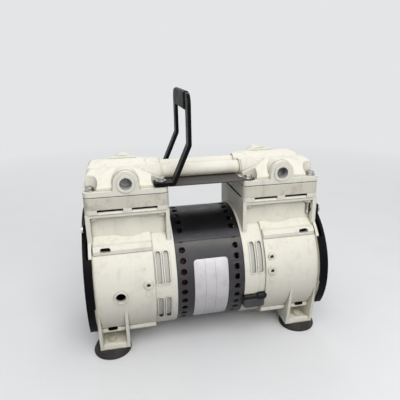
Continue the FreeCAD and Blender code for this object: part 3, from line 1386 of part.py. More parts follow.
def rod_set(side):
    """Connecting rod with its bearing, cup, retainer and screw, at its place on the eccentric."""
    base = S.axis_height - S.throw * side
    axis = (0, base)
    station = S.cylinder_station * side
    half = S.rod_width / 2
    width = (station - half, station + half)
    bearing_bore = S.eccentric_radius + S.running_clearance
    bearing_outer = bearing_bore + S.rod_bearing_wall
    top = base + S.rod_length
    retainer_low = top - S.retainer_thickness
    cup_low = retainer_low - S.cup_thickness
    disc_low = cup_low - S.piston_disc_thickness
    centre = (station, 0)
    name = NAMES[side]

    eye_radius = bearing_outer + S.rod_eye_wall
    eye = cylinder("rod_eye", "x", axis, eye_radius, width)
    shank = prism("rod_shank", "x", [(S.rod_shank_root, base), (S.rod_shank_tip, disc_low),
                                     (-S.rod_shank_tip, disc_low), (-S.rod_shank_root, base)], width)
    disc = cylinder("piston_disc", "z", centre, S.piston_disc_radius, (disc_low, cup_low))
    bore = cylinder("rod_bore", "x", axis, bearing_outer + S.seat_clearance, width)
    screw_low = top - S.retainer_screw_length
    screw_hole = cylinder("rod_screw_hole", "z", centre, S.retainer_screw_radius + S.seat_clearance,
                          (screw_low, cup_low))
    publish(cut("rod", fuse("rod_blank", eye, shank, disc), bore, screw_hole), "connecting_rod_" + name)
    publish(tube("rod_ring", "x", axis, bearing_outer, bearing_bore, width), "rod_bearing_" + name)

    hole = S.retainer_screw_radius + S.seat_clearance
    lip = S.cup_radius - S.cup_thickness
    publish(turned("cup", "z", [
        (cup_low, hole), (cup_low, S.cup_radius), (cup_low + S.cup_thickness + S.cup_lip_height,
                                                   S.cup_radius),
        (cup_low + S.cup_thickness + S.cup_lip_height, lip), (retainer_low, lip),
        (retainer_low, hole)], centre), "piston_cup_" + name)
    head_low = top - S.retainer_head_height
    recess = S.retainer_head_radius + S.seat_clearance
    publish(turned("retainer", "z", [
        (retainer_low, hole), (retainer_low, S.retainer_radius), (top, S.retainer_radius),
        (top, recess), (head_low, recess), (head_low, hole)], centre), "cup_retainer_" + name)
    publish(fuse("retainer_screw",
                 cylinder("retainer_shank", "z", centre, S.retainer_screw_radius, (screw_low, head_low)),
                 cylinder("retainer_head", "z", centre, S.retainer_head_radius, (head_low, top))),
            "retainer_screw_" + name)


def main():
    """Build every sub-part, check it and write it."""
    housings()
    shell()
    motor_inside()
    heads_and_plates()
    cylinders()
    reeds()
    transfer_tubes()
    bridge_plate()
    handle()
    guards()
    feet()
    gland()
    crankshaft()
    set_screws = []
    for side in (LEFT, RIGHT):
        set_screws.append(eccentric(side))
        fan(side)
        rod_set(side)
    publish(group("set_screws", *set_screws), "eccentric_screws")
    DOCUMENT.recompute()

    for item in DOCUMENT.Objects:
        if "Invalid" in item.State or "Error" in item.State:
            raise RuntimeError("{} failed: {}".format(item.Name, item.State))
    os.makedirs("parts", exist_ok=True)
    for piece in parts:
        if piece.Shape.isNull() or not piece.Shape.isValid():
            raise RuntimeError("{} has no valid shape".format(piece.Label))
    for piece in parts:
        piece.Shape.exportStep("parts/{}.step".format(piece.Label))
        print("{:22s} {:2d} solids {:10.0f} mm3".format(
            piece.Label, len(piece.Shape.Solids), piece.Shape.Volume))


main()
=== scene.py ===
"""Dresses the twin-head vacuum pump: paint and metal finishes, turned and moulded pieces, studio.

Lengths are metres in the pump's own frame: +X along the crankshaft, +Y to the rear and +Z up.
"""

import json
import logging
import math
from dataclasses import dataclass
from enum import Enum
from typing import List, Optional, Sequence, Tuple

import bpy
import numpy as np
from mathutils import Matrix, Vector

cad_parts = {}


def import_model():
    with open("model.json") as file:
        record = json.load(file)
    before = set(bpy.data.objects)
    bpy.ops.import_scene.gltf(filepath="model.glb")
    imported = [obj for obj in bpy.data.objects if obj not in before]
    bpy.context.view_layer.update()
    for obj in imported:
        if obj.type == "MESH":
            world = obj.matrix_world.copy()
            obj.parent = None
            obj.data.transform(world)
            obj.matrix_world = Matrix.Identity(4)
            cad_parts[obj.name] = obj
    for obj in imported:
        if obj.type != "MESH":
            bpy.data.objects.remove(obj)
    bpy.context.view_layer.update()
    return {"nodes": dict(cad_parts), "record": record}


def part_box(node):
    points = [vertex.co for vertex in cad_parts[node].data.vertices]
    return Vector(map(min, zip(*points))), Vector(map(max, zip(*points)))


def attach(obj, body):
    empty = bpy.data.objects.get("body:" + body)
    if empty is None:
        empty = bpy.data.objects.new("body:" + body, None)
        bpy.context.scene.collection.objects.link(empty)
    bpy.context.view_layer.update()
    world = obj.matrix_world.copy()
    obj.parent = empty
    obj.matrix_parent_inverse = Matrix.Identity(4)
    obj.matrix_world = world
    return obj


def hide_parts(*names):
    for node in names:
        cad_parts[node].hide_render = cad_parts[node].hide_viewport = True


Span = Tuple[float, float]
Ramp = Tuple[Span, Span]
Triple = Tuple[float, float, float]
Array = np.ndarray
Socket = bpy.types.NodeSocket
Piece = bpy.types.Object

LOG = logging.getLogger("vacuum_pump")
MM = 0.001
TURN = 2 * math.pi
PUMP = "pump"
CRANK_HEIGHT = 100.0 * MM
EVEN: Triple = (1.0, 1.0, 1.0)
BEVEL_SAMPLES = 4
SHELTER_SAMPLES = 6
EDGE_MATCH: Span = (0.98, 0.80)
MIX_COLOURS = (6, 7)
MIX_RESULT = 2


class End(Enum):
    """A choice between two ends, at -1 and 1 along an axis."""

    @property
    def word(self) -> str:
        """The word that node names carry."""
        return self.name.lower()


class Side(End):
    """The two ends of the pump along its crankshaft."""

    LEFT = -1
    RIGHT = 1


class Edge(End):
    """Front and rear of the pump."""

    FRONT = -1
    REAR = 1


def linear(red: float, green: float, blue: float) -> Tuple[float, float, float, float]:
    """Turn a display colour into the linear one that shaders take.

    The usual display curve is straight in its darkest part and a power of 2.4 above it.

    Args:
        red, green, blue: display values from 0 to 255.

    Returns:
        The linear colour with full alpha.
    """
    values = np.array([red, green, blue]) / 255.0
    light = np.where(values <= 0.04045, values / 12.92, ((values + 0.055) / 1.055) ** 2.4)
    return (float(light[0]), float(light[1]), float(light[2]), 1.0)


@dataclass(frozen=True)
class Pattern:
    """Noise on a piece's own coordinates, and how its values are read.

    scale is in features per metre, detail in octaves, roughness is the weight of the finer octaves
    and stretch holds factors on the three axes. The span of the noise's values becomes the
    amounts.
    """

    scale: float
    span: Span = (0.3, 0.7)
    amounts: Span = (0.0, 1.0)
    detail: float = 4.0
    roughness: float = 0.55
    stretch: Triple = EVEN


@dataclass(frozen=True)
class Specks:
    """Round specks that lie in groups.

    scale is in specks per metre. Over the reach, in shares of the distance between specks, they
    rise from nothing to their amount.
    """

    scale: float
    reach: Span
    amount: float
    groups: Pattern


def grain(scale: float, stretch: Triple = EVEN) -> Pattern:
    """Make a fine pattern of two even octaves, for a relief."""
    return Pattern(scale, detail=2.0, roughness=0.5, stretch=stretch)


class Nodes:
    """A node tree with short calls for adding and joining nodes."""

    def __init__(self, tree: bpy.types.NodeTree) -> None:
        """Start with an empty tree."""
        self.tree = tree
        self.tree.nodes.clear()

    def add(self, kind: str, **settings: object) -> bpy.types.Node:
        """Add a node.

        Args:
            kind: the node's type name.
            settings: its attributes.

        Returns:
            The node.
        """
        node = self.tree.nodes.new(kind)
        for name, value in settings.items():
            setattr(node, name, value)
        return node

    def join(self, source: Socket, target: Socket) -> None:
        """Link two sockets."""
        self.tree.links.new(source, target)

    def ramp(self, source: Socket, span: Span, amounts: Span = (0.0, 1.0)) -> Socket:
        """Turn a span of a value into two amounts, and clamp it to them.

        Args:
            source: the value.
            span: the two values that are read.
            amounts: what they become.

        Returns:
            The socket of the result.
        """
        node = self.add("ShaderNodeMapRange")
        for name, value in zip(("From Min", "From Max", "To Min", "To Max"), (*span, *amounts)):
            node.inputs[name].default_value = value
        self.join(source, node.inputs["Value"])
        return node.outputs["Result"]

    def math(self, operation: str, first: Socket, *others: "Socket | float") -> Socket:
        """Combine values by one operation, from the first to the last.

        Args:
            operation: the Math node's operation.
            first: first value.
            others: the other values or numbers, or none where the operation takes one value.

        Returns:
            The socket of the result.
        """
        result = first
        for other in others or (0.0,):
            node = self.add("ShaderNodeMath", operation=operation)
            self.join(result, node.inputs[0])
            if isinstance(other, float):
                node.inputs[1].default_value = other
            else:
                self.join(other, node.inputs[1])
            result = node.outputs[0]
        return result

    def seen(self) -> Socket:
        """Tell rays from the camera, a mirror or glass, which show the backdrop, from the others.

        Returns:
            The socket that is 1 for such rays and 0 for the others.
        """
        path = self.add("ShaderNodeLightPath").outputs
        return self.math("MAXIMUM", path["Is Camera Ray"], path["Is Glossy Ray"],
                         path["Is Transmission Ray"])

    def mixed(self, share: Socket, under: Socket, over: Socket) -> Socket:
        """Mix two shaders.

        Args:
            share: how much of the second shows.
            under, over: the shaders' sockets.

        Returns:
            The mixed shader's socket.
        """
        node = self.add("ShaderNodeMixShader")
        for source, target in zip((share, under, over), node.inputs):
            self.join(source, target)
        return node.outputs["Shader"]


class Graph(Nodes):
    """A material's nodes round one shader, on the piece's own coordinates."""

    def __init__(self, name: str) -> None:
        """Start a material with a shader and its output."""
        self.material = bpy.data.materials.new(name)
        self.material.use_nodes = True
        super().__init__(self.material.node_tree)
        self.shader = self.add("ShaderNodeBsdfPrincipled")
        self.output = self.add("ShaderNodeOutputMaterial")
        self.join(self.shader.outputs["BSDF"], self.output.inputs["Surface"])
        self.place = self.add("ShaderNodeTexCoord").outputs["Object"]

    def noise(self, pattern: Pattern) -> Socket:
        """Make a pattern's noise.

        Args:
            pattern: its scale and octaves.

        Returns:
            The socket of the plain noise.
        """
        mapping = self.add("ShaderNodeMapping")
        mapping.inputs["Scale"].default_value = pattern.stretch
        self.join(self.place, mapping.inputs["Vector"])
        texture = self.add("ShaderNodeTexNoise")
        for name in ("scale", "detail", "roughness"):
            texture.inputs[name.title()].default_value = getattr(pattern, name)
        self.join(mapping.outputs["Vector"], texture.inputs["Vector"])
        return texture.outputs["Fac"]

    def spread(self, pattern: Pattern) -> Socket:
        """Read a pattern's noise as its amounts."""
        return self.ramp(self.noise(pattern), pattern.span, pattern.amounts)

    def scatter(self, specks: Specks) -> Socket:
        """Scatter specks.

        Args:
            specks: their size, amount and groups.

        Returns:
            The socket of how much of them shows.
        """
        texture = self.add("ShaderNodeTexVoronoi")
        texture.inputs["Scale"].default_value = specks.scale
        self.join(self.place, texture.inputs["Vector"])
        dots = self.ramp(texture.outputs["Distance"], specks.reach, (0.0, specks.amount))
        return self.math("MULTIPLY", dots, self.spread(specks.groups))

    def blend(self, amount: Socket, under: "Triple | Socket",
              over: "Triple | Socket") -> Socket:
        """Lay a colour over another.

        Args:
            amount: how much of the upper one shows.
            under, over: display colours or colours' sockets.

        Returns:
            The mixed colour's socket.
        """
        node = self.add("ShaderNodeMix", data_type="RGBA")
        self.join(amount, node.inputs["Factor"])
        for index, value in zip(MIX_COLOURS, (under, over)):
            if isinstance(value, tuple):
                node.inputs[index].default_value = linear(*value)
            else:
                self.join(value, node.inputs[index])
        return node.outputs[MIX_RESULT]

    def edges(self, radius: float) -> Tuple[Socket, Socket]:
        """Round the look of sharp edges and find where they are.

        Args:
            radius: the rounding's radius in metres.

        Returns:
            The rounded normal's socket, and a value that rises to 1 on the edges.
        """
        bevel = self.add("ShaderNodeBevel", samples=BEVEL_SAMPLES)
        bevel.inputs["Radius"].default_value = radius
        plain = self.add("ShaderNodeNewGeometry")
        match = self.add("ShaderNodeVectorMath", operation="DOT_PRODUCT")
        self.join(bevel.outputs["Normal"], match.inputs[0])
        self.join(plain.outputs["Normal"], match.inputs[1])
        return bevel.outputs["Normal"], self.ramp(match.outputs["Value"], EDGE_MATCH)

    def shelter(self, reach: float) -> Socket:
        """Find how open the surface is: 1 in the open and near 0 deep in a hole.

        Args:
            reach: how far away walls still count, in metres.

        Returns:
            The openness socket.
        """
        node = self.add("ShaderNodeAmbientOcclusion", samples=SHELTER_SAMPLES)
        node.inputs["Distance"].default_value = reach
        return node.outputs["AO"]

    def radius(self) -> Socket:
        """Measure the distance from the crankshaft's line.

        Returns:
            The distance socket.
        """
        mapping = self.add("ShaderNodeMapping")
        mapping.inputs["Location"].default_value = (0.0, 0.0, -CRANK_HEIGHT)
        mapping.inputs["Scale"].default_value = (0.0, 1.0, 1.0)
        self.join(self.place, mapping.inputs["Vector"])
        length = self.add("ShaderNodeVectorMath", operation="LENGTH")
        self.join(mapping.outputs["Vector"], length.inputs[0])
        return length.outputs["Value"]

    def axis(self, letter: str) -> Socket:
        """Read one of the piece's own coordinates.

        Args:
            letter: X, Y or Z.

        Returns:
            The coordinate's socket.
        """
        node = self.add("ShaderNodeSeparateXYZ")
        self.join(self.place, node.inputs[0])
        return node.outputs[letter]

    def away(self, value: Socket, middle: float = 0.0) -> Socket:
        """Measure how far a value lies from a middle, to either side."""
        return self.math("ABSOLUTE", self.math("SUBTRACT", value, middle))

    def relief(self, pattern: Pattern, depth: float, normal: Optional[Socket] = None) -> None:
        """Give the shader a bumpy surface.

        Args:
            pattern: the relief's height from 0 to 1.
            depth: what a height of 1 stands for, in metres.
            normal: the normal under the relief.
        """
        bump = self.add("ShaderNodeBump")
        bump.inputs["Distance"].default_value = depth
        bump.inputs["Strength"].default_value = 1.0
        self.join(self.noise(pattern), bump.inputs["Height"])
        if normal is not None:
            self.join(normal, bump.inputs["Normal"])
        self.join(bump.outputs["Normal"], self.shader.inputs["Normal"])

    def coat(self, colour: Socket, roughness: Socket, **numbers: float) -> None:
        """Give the shader its colour, its roughness and its plain numbers.

        Args:
            colour, roughness: what varies over the surface.
            numbers: values of the shader's own sockets, with _ for each space in a name.
        """
        self.join(colour, self.shader.inputs["Base Color"])
        self.join(roughness, self.shader.inputs["Roughness"])
        for name, value in numbers.items():
            self.shader.inputs[name.replace("_", " ")].default_value = value


@dataclass(frozen=True)
class CastingPaint:
    """Ivory enamel on a die casting: fine orange peel, grime clouds and drips, specks and worn
    edges, with painted shade in corners, creases, vent floors and hollows and a painted highlight
    on outer edges.
    """

    colour: Triple = (235, 232, 219)
    # Colour of the grime, also laid as painted shade in corners and creases.
    grime: Triple = (176, 168, 148)
    chip: Triple = (92, 84, 72)
    # Near-black painted as shade into deep holes, the crank space and the lower bolt pockets.
    soot: Triple = (16, 15, 14)
    # Grey painted on the vent slots' floors as shade.
    primer: Triple = (196, 196, 188)
    # Pale colour painted on outer edges as a highlight.
    rubbed: Triple = (252, 251, 244)
    grime_amount: float = 0.38
    clouds: Pattern = Pattern(52.0, (0.52, 0.80), detail=6.0, roughness=0.68)
    drips: Pattern = Pattern(90.0, (0.56, 0.80), (0.0, 0.35), 3.0, 0.6, (1.0, 1.0, 0.25))
    blotches: Pattern = Pattern(75.0, (0.36, 0.62), (0.25, 1.0), roughness=0.65)
    worn: Pattern = Pattern(160.0, (0.54, 0.68), (0.0, 0.5), 3.0)
    chips: Specks = Specks(210.0, (0.15, 0.08), 0.75, Pattern(46.0, (0.58, 0.68), detail=2.0))
    specks: Specks = Specks(520.0, (0.20, 0.10), 0.45, Pattern(240.0, (0.50, 0.62), detail=2.0))
    gloss: Pattern = Pattern(60.0, amounts=(0.40, 0.58))
    film_roughness: float = 0.75
    peel: Pattern = grain(1100.0)
    peel_depth: float = 0.05 * MM
    index: float = 1.46
    specular: float = 0.35
    edge_radius: float = 1.4 * MM
    # Painted highlight on edges that stand in the open.
    outer_edges: Ramp = ((0.72, 0.92), (0.0, 0.8))
    corner_reach: float = 14.0 * MM
    # Painted shade in corners, where nearby walls shelter the surface.
    corner_grime: Ramp = ((0.75, 0.35), (0.0, 0.42))
    crease_reach: float = 3.5 * MM
    # Painted shade in narrow creases.
    crease_grime: Ramp = ((0.88, 0.55), (0.0, 0.75))
    # Painted shade in deep holes: the openness that it spans, and the heights between which it
    # lies.
    soot_openness: Span = (0.38, 0.23)
    soot_top: float = 240.0 * MM
    soot_foot: Span = (21.0 * MM, 24.0 * MM)
    # Radii over which the vent slots' floors turn to the painted shade.
    vent_floors: Span = (88.4 * MM, 87.6 * MM)
    # The crank space behind the fans: its inside is unpainted, and near-black here as painted
    # shade.
    crank_space: Span = (89.5 * MM, 86.5 * MM)
    crank_space_start: float = 80.0 * MM
    # The lower bolt pockets, which get the painted shade.
    pocket_middle: Span = (141.8 * MM, 41.0 * MM)
    pocket_reach: Span = (7.4 * MM, 3.4 * MM)
    pocket_mouth: Span = (72.1 * MM, 71.1 * MM)

    def pockets(self, graph: Graph) -> Socket:
        """Find the insides of the lower bolt pockets, behind the faces of their ledges.

        Args:
            graph: the material's nodes.

        Returns:
            The socket that is 1 inside their slots and 0 elsewhere.
        """
        across = graph.away(graph.away(graph.axis("X")), self.pocket_middle[0])
        upward = graph.away(graph.axis("Z"), self.pocket_middle[1])
        return graph.math("MULTIPLY", graph.ramp(graph.away(graph.axis("Y")), self.pocket_mouth),
                          graph.math("LESS_THAN", across, self.pocket_reach[0]),
                          graph.math("LESS_THAN", upward, self.pocket_reach[1]))

    def films(self, graph: Graph, openness: Socket) -> Socket:
        """Lay grime in clouds and drips, and painted shade in corners and creases.

        Args:
            graph: the material's nodes.
            openness: how open the surface is.

        Returns:
            The socket of how much grime and painted shade lies on the paint.
        """
        # Painted shade in corners and creases, from how sheltered the surface is.
        corners = graph.math("MULTIPLY", graph.ramp(openness, *self.corner_grime),
                             graph.spread(self.blotches))
        clouds = graph.math("MULTIPLY", graph.spread(self.clouds), self.grime_amount)
        creases = graph.ramp(graph.shelter(self.crease_reach), *self.crease_grime)
        return graph.math("MAXIMUM", clouds, graph.spread(self.drips), corners, creases)

    def dark(self, graph: Graph, openness: Socket) -> Socket:
        """Paint near-black shade into deep holes, the crank space behind the fans and the lower
        bolt pockets; in the crank space it also stands for the unpainted inside.

        Args:
            graph: the material's nodes.
            openness: how open the surface is.

        Returns:
            The socket of how much painted shade they get.
        """
        past_start = graph.math("GREATER_THAN", graph.away(graph.axis("X")),
                                self.crank_space_start)
        inside = graph.math("MULTIPLY", graph.ramp(graph.radius(), self.crank_space), past_start)
        height = graph.axis("Z")
        # Painted shade in deep holes, below the head flange and above the feet.
        deep = graph.math("MULTIPLY", graph.ramp(openness, self.soot_openness),
                          graph.math("LESS_THAN", height, self.soot_top),
                          graph.ramp(height, self.soot_foot))
        return graph.math("MAXIMUM", deep, inside, self.pockets(graph))

    def dress(self, graph: Graph) -> None:
        """Paint a casting.

        Args:
            graph: the material's nodes.
        """
        normal, edge = graph.edges(self.edge_radius)
        openness = graph.shelter(self.corner_reach)
        films = self.films(graph, openness)
        # Painted highlight: outer edges turn towards the pale edge colour.
        outer = graph.math("MULTIPLY", edge, graph.ramp(openness, *self.outer_edges))
        # Grime and painted shade are laid over the paint.
        paint = graph.blend(films, graph.blend(outer, self.colour, self.rubbed), self.grime)
        marks = graph.math("MAXIMUM", graph.math("MULTIPLY", edge, graph.spread(self.worn)),
                           graph.scatter(self.chips), graph.scatter(self.specks))
        # Painted shade: the vent slots' floors turn grey.
        floors = graph.ramp(graph.radius(), self.vent_floors)
        grey = graph.blend(floors, graph.blend(marks, paint, self.chip), self.primer)
        dull = graph.math("MULTIPLY", films, self.film_roughness)
        graph.coat(graph.blend(self.dark(graph, openness), grey, self.soot),
                   graph.math("MAXIMUM", graph.spread(self.gloss), dull),
                   IOR=self.index, Specular_IOR_Level=self.specular)
        graph.relief(self.peel, self.peel_depth, normal)


@dataclass(frozen=True)
class BlackPaint:
    """Semi-gloss black enamel on sheet metal, with dust and fine scratches.

    A paler band of the dust colour is painted as sheen between the heights of its foot, middle and
    top, and above a height the paint darkens to near-black as painted shade.
    """

    colour: Triple = (14, 14, 16)
    # Dust colour, which the painted sheen band uses too.
    dust: Triple = (74, 72, 68)
    # Near-black painted as shade above a height.
    deep: Triple = (10, 10, 12)
    roughness: float = 0.36
    dust_amount: float = 0.10
    index: float = 1.28
    specular: float = 0.12
    # Painted shade: from this height up, over the rise, the paint darkens.
    deep_above: float = 1.0
    deep_rise: float = 6.0 * MM
    deep_amounts: Span = (0.0, 0.9)
    # Heights of the foot, middle and top of a paler band painted as sheen.
    streak: Triple = (2.0, 3.0, 4.0)
    streaks: Pattern = Pattern(70.0, (0.35, 0.65), (0.15, 0.55), roughness=0.6,
                               stretch=(0.25, 1.0, 1.0))
    film: Pattern = Pattern(28.0, (0.45, 0.80), detail=5.0, roughness=0.6)
    scratches: Pattern = Pattern(300.0, (0.66, 0.74), (0.0, 0.2), 2.0, 0.5, (0.12, 1.0, 1.0))
    rubbed: Pattern = Pattern(120.0, (0.54, 0.72), (0.0, 0.3), 3.0)
    sheen: Pattern = Pattern(70.0, amounts=(-0.06, 0.10))
    peel: Pattern = grain(900.0)
    peel_depth: float = 0.03 * MM
    edge_radius: float = 0.5 * MM

    def dress(self, graph: Graph) -> None:
        """Paint a piece of sheet metal.

        Args:
            graph: the material's nodes.
        """
        normal, edge = graph.edges(self.edge_radius)
        height = graph.axis("Z")
        # Painted sheen: a paler band of the dust colour between two heights.
        foot, middle, top = self.streak
        streaks = graph.math("MULTIPLY", graph.ramp(height, (foot, middle)),
                             graph.ramp(height, (top, middle)), graph.spread(self.streaks))
        # Dust, wear and the painted sheen band.
        dust_wear_and_sheen = graph.math("MAXIMUM",
                          graph.math("MULTIPLY", graph.spread(self.film), self.dust_amount),
                          graph.spread(self.scratches),
                          graph.math("MULTIPLY", edge, graph.spread(self.rubbed)), streaks)
        # Painted shade above a height.
        top_shade = graph.ramp(height, (self.deep_above, self.deep_above + self.deep_rise),
                           self.deep_amounts)
        graph.coat(graph.blend(top_shade, graph.blend(dust_wear_and_sheen, self.colour, self.dust), self.deep),
                   graph.math("ADD", graph.spread(self.sheen), self.roughness),
                   IOR=self.index, Specular_IOR_Level=self.specular)
        graph.relief(self.peel, self.peel_depth, normal)


@dataclass(frozen=True)
class BareMetal:
    """Machined, ground, plated or cast metal with directional marks and light tarnish."""

    colour: Triple
    tarnish: Triple
    roughness: float = 0.32
    marks: Pattern = grain(700.0)
    mark_depth: float = 0.03 * MM
    metallic: float = 1.0
    patches: Pattern = Pattern(140.0, (0.42, 0.72), roughness=0.6)
    sheen: Pattern = Pattern(260.0, amounts=(-0.07, 0.12), detail=3.0)
    edge_radius: float = 0.3 * MM

    def dress(self, graph: Graph) -> None:
        """Finish a piece of metal.

        Args:
            graph: the material's nodes.
        """
        normal, _ = graph.edges(self.edge_radius)
        graph.coat(graph.blend(graph.spread(self.patches), self.colour, self.tarnish),
                   graph.math("ADD", graph.spread(self.sheen), self.roughness),
                   Metallic=self.metallic)
        graph.relief(self.marks, self.mark_depth, normal)


@dataclass(frozen=True)
class Moulded:
    """Rubber or moulded plastic with a dusty bloom and a fine moulded texture."""

    colour: Triple
    bloom: Triple
    roughness: float = 0.6
    bloom_amount: float = 0.35
    dust: Pattern = Pattern(60.0, (0.42, 0.75), detail=5.0, roughness=0.65)
    edge_bloom: float = 0.2
    sheen: Pattern = Pattern(90.0, amounts=(-0.08, 0.12))
    texture: Pattern = grain(1400.0)
    texture_depth: float = 0.05 * MM
    edge_radius: float = 0.5 * MM
    specular: float = 0.2

    def dress(self, graph: Graph) -> None:
        """Finish a moulded piece.

        Args:
            graph: the material's nodes.
        """
        normal, edge = graph.edges(self.edge_radius)
        dust = graph.math("MULTIPLY", graph.spread(self.dust), self.bloom_amount)
        shade = graph.math("MAXIMUM", dust, graph.math("MULTIPLY", edge, self.edge_bloom))
        graph.coat(graph.blend(shade, self.colour, self.bloom),
                   graph.math("ADD", graph.spread(self.sheen), self.roughness),
                   Specular_IOR_Level=self.specular)
        graph.relief(self.texture, self.texture_depth, normal)


@dataclass(frozen=True)
class PortMetal:
    """Cut aluminium in the ports: dull on the threads, and on the end wall bare aluminium painted
    pale as light, brightening the deep end.
    """

    thread: Triple = (158, 158, 156)
    # Pale colour painted on the end wall as light.
    end: Triple = (244, 244, 241)
    change: Span = (47.0 * MM, 43.5 * MM)
    sheen: Pattern = Pattern(400.0, amounts=(0.45, 0.62), detail=3.0)
    marks: Pattern = grain(900.0)
    mark_depth: float = 0.03 * MM

    def dress(self, graph: Graph) -> None:
        """Finish the ports' inside.

        Args:
            graph: the material's nodes.
        """
        # Painted light: the colour turns pale towards the end wall.
        inward = graph.ramp(graph.away(graph.axis("Y")), self.change)
        graph.coat(graph.blend(inward, self.thread, self.end), graph.spread(self.sheen))
        graph.relief(self.marks, self.mark_depth)


@dataclass(frozen=True)
class PlateFoil:
    """Blank plate stock: pale satin foil with faint brushing, scuffs and a few grey rules."""

    colour: Triple = (212, 209, 211)
    scuff: Triple = (172, 168, 167)
    rule: Triple = (112, 110, 114)
    rules: Span = (-8.0 * MM, 6.5 * MM)
    rule_edge: Span = (0.33 * MM, 0.22 * MM)
    rule_amounts: Span = (0.0, 0.55)
    scuffs: Pattern = Pattern(45.0, (0.48, 0.74), (0.0, 0.45), 5.0, 0.7)
    brushing: Pattern = Pattern(1600.0, amounts=(0.36, 0.50), detail=2.0, roughness=0.5,
                                stretch=(1.0, 1.0, 0.04))
    brush_depth: float = 0.02 * MM
    metallic: float = 0.25

    def dress(self, graph: Graph) -> None:
        """Finish the plate.

        Args:
            graph: the material's nodes.
        """
        foil = graph.blend(graph.spread(self.scuffs), self.colour, self.scuff)
        for place in self.rules:
            offset = graph.away(graph.axis("X"), place)
            foil = graph.blend(graph.ramp(offset, self.rule_edge, self.rule_amounts), foil,
                               self.rule)
        graph.coat(foil, graph.spread(self.brushing), Metallic=self.metallic)
        graph.relief(self.brushing, self.brush_depth)


class Finish(Enum):
    """The finishes of the pump: the record's material slots, and the scene's own."""

    casting_paint = CastingPaint()
    plate_paint = CastingPaint(colour=(216, 212, 198), grime=(160, 144, 120), grime_amount=0.85)
    black_paint = BlackPaint()
    # The shell's paint is a lighter grey than the other black parts: partly its own tone and
    # partly painted light on its middle. Above 166 mm it gets painted shade, and a paler band is
    # painted as sheen.
    shell_paint = BlackPaint(colour=(58, 57, 61), dust=(130, 127, 122), dust_amount=0.17,
                             specular=0.3, index=1.4, deep_above=166.0 * MM,
                             streak=(146.0 * MM, 159.0 * MM, 165.0 * MM))
    bridge_paint = BlackPaint(colour=(82, 79, 76), dust=(136, 132, 126), roughness=0.42)
    laminated_steel = BareMetal((128, 126, 124), (88, 84, 80), 0.45,
                                grain(500.0, (14.0, 1.0, 1.0)), 0.1 * MM)
    copper = BareMetal((84, 44, 34), (50, 26, 22), 0.42, grain(900.0), 0.1 * MM, 0.6)
    zinc = BareMetal((194, 193, 188), (104, 101, 96), 0.34)
    bearing_steel = BareMetal((192, 193, 196), (150, 150, 150), 0.22,
                              grain(600.0, (6.0, 1.0, 1.0)))
    bare_aluminium = BareMetal((204, 205, 207), (168, 168, 166), 0.34,
                               grain(500.0, (8.0, 1.0, 1.0)))
    cast_iron = BareMetal((96, 94, 92), (66, 60, 56), 0.55, grain(1300.0), 0.12 * MM)
    seal_rubber = Moulded((34, 34, 35), (80, 78, 74), 0.7)
    foot_rubber = Moulded((54, 51, 50), (90, 84, 78), 0.72, 0.45)
    grip_rubber = Moulded((28, 28, 31), (62, 61, 61), 0.6, 0.2)
    cup_plastic = Moulded((112, 92, 66), (150, 132, 104), 0.5)
    black_plastic = Moulded((11, 11, 13), (46, 45, 45), 0.24, 0.10)
    thread_metal = PortMetal()
    boot_skirt = Moulded((72, 71, 72), (112, 109, 106), 0.36, 0.35)
    plate_foil = PlateFoil()

    def built(self) -> bpy.types.Material:
        """Make the finish's material the first time that it is asked for.

        Returns:
            The material.
        """
        name = f"{self.name}_finish"
        if name not in bpy.data.materials:
            self.value.dress(Graph(name))
        return bpy.data.materials[name]


FINISH_OF = {"motor_shell": Finish.shell_paint, "foot_screws": Finish.plate_paint}


def paint_node(frame: dict, node: str, finish: Finish) -> None:
    """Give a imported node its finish.

    Args:
        frame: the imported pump.
        node: the node's name.
        finish: its finish.
    """
    mesh = frame["nodes"][node].data
    mesh.materials.clear()
    mesh.materials.append(finish.built())


def grid_faces(rows: int, columns: int, closed: bool) -> Array:
    """Number the corners of the quads of a grid.

    Args:
        rows, columns: the grid's size in points.
        closed: whether the last column joins the first.

    Returns:
        An array of four corner numbers a face, ordered so that faces look to the right-hand side
        of rows crossed with columns.
    """
    across = columns if closed else columns - 1
    row, column = np.meshgrid(np.arange(rows - 1), np.arange(across), indexing="ij")
    after = (column + 1) % columns
    corners = np.stack([row * columns + column, row * columns + after,
                        (row + 1) * columns + after, (row + 1) * columns + column], axis=-1)
    return corners.reshape(-1, 4)


def linked(name: str, data: bpy.types.ID) -> Piece:
    """Put a mesh, a lamp or a camera into the scene as an object at the origin.

    Args:
        name: the object's name.
        data: what it holds.

    Returns:
        The object.
    """
    piece = bpy.data.objects.new(name, data)
    bpy.context.scene.collection.objects.link(piece)
    return piece


def surface(name: str, points: Array, closed: bool = True, capped: bool = True,
            smooth: bool = True) -> Piece:
    """Make a piece from a grid of points.

    Args:
        name: the piece's name.
        points: rows by columns by three coordinates, in metres.
        closed: whether the last column joins the first.
        capped: whether the first and last rows are closed with a face each.
        smooth: whether faces are shaded smooth.

    Returns:
        The piece, at the origin with its place in its mesh.
    """
    rows, columns = points.shape[:2]
    polygons = grid_faces(rows, columns, closed).tolist()
    if capped:
        first = np.arange(columns)
        polygons += [first[::-1].tolist(), (first + (rows - 1) * columns).tolist()]
    mesh = bpy.data.meshes.new(name)
    mesh.from_pydata(points.reshape(-1, 3).tolist(), [], polygons)
    mesh.polygons.foreach_set("use_smooth", np.full(len(mesh.polygons), smooth))
    mesh.validate()
    mesh.update()
    return linked(name, mesh)


def corner_points(mesh: bpy.types.Mesh) -> Array:
    """Read a mesh's points.

    Args:
        mesh: the mesh.

    Returns:
        An array of three coordinates a point.
    """
    flat = np.empty(len(mesh.vertices) * 3)
    mesh.vertices.foreach_get("co", flat)
    return flat.reshape(-1, 3)


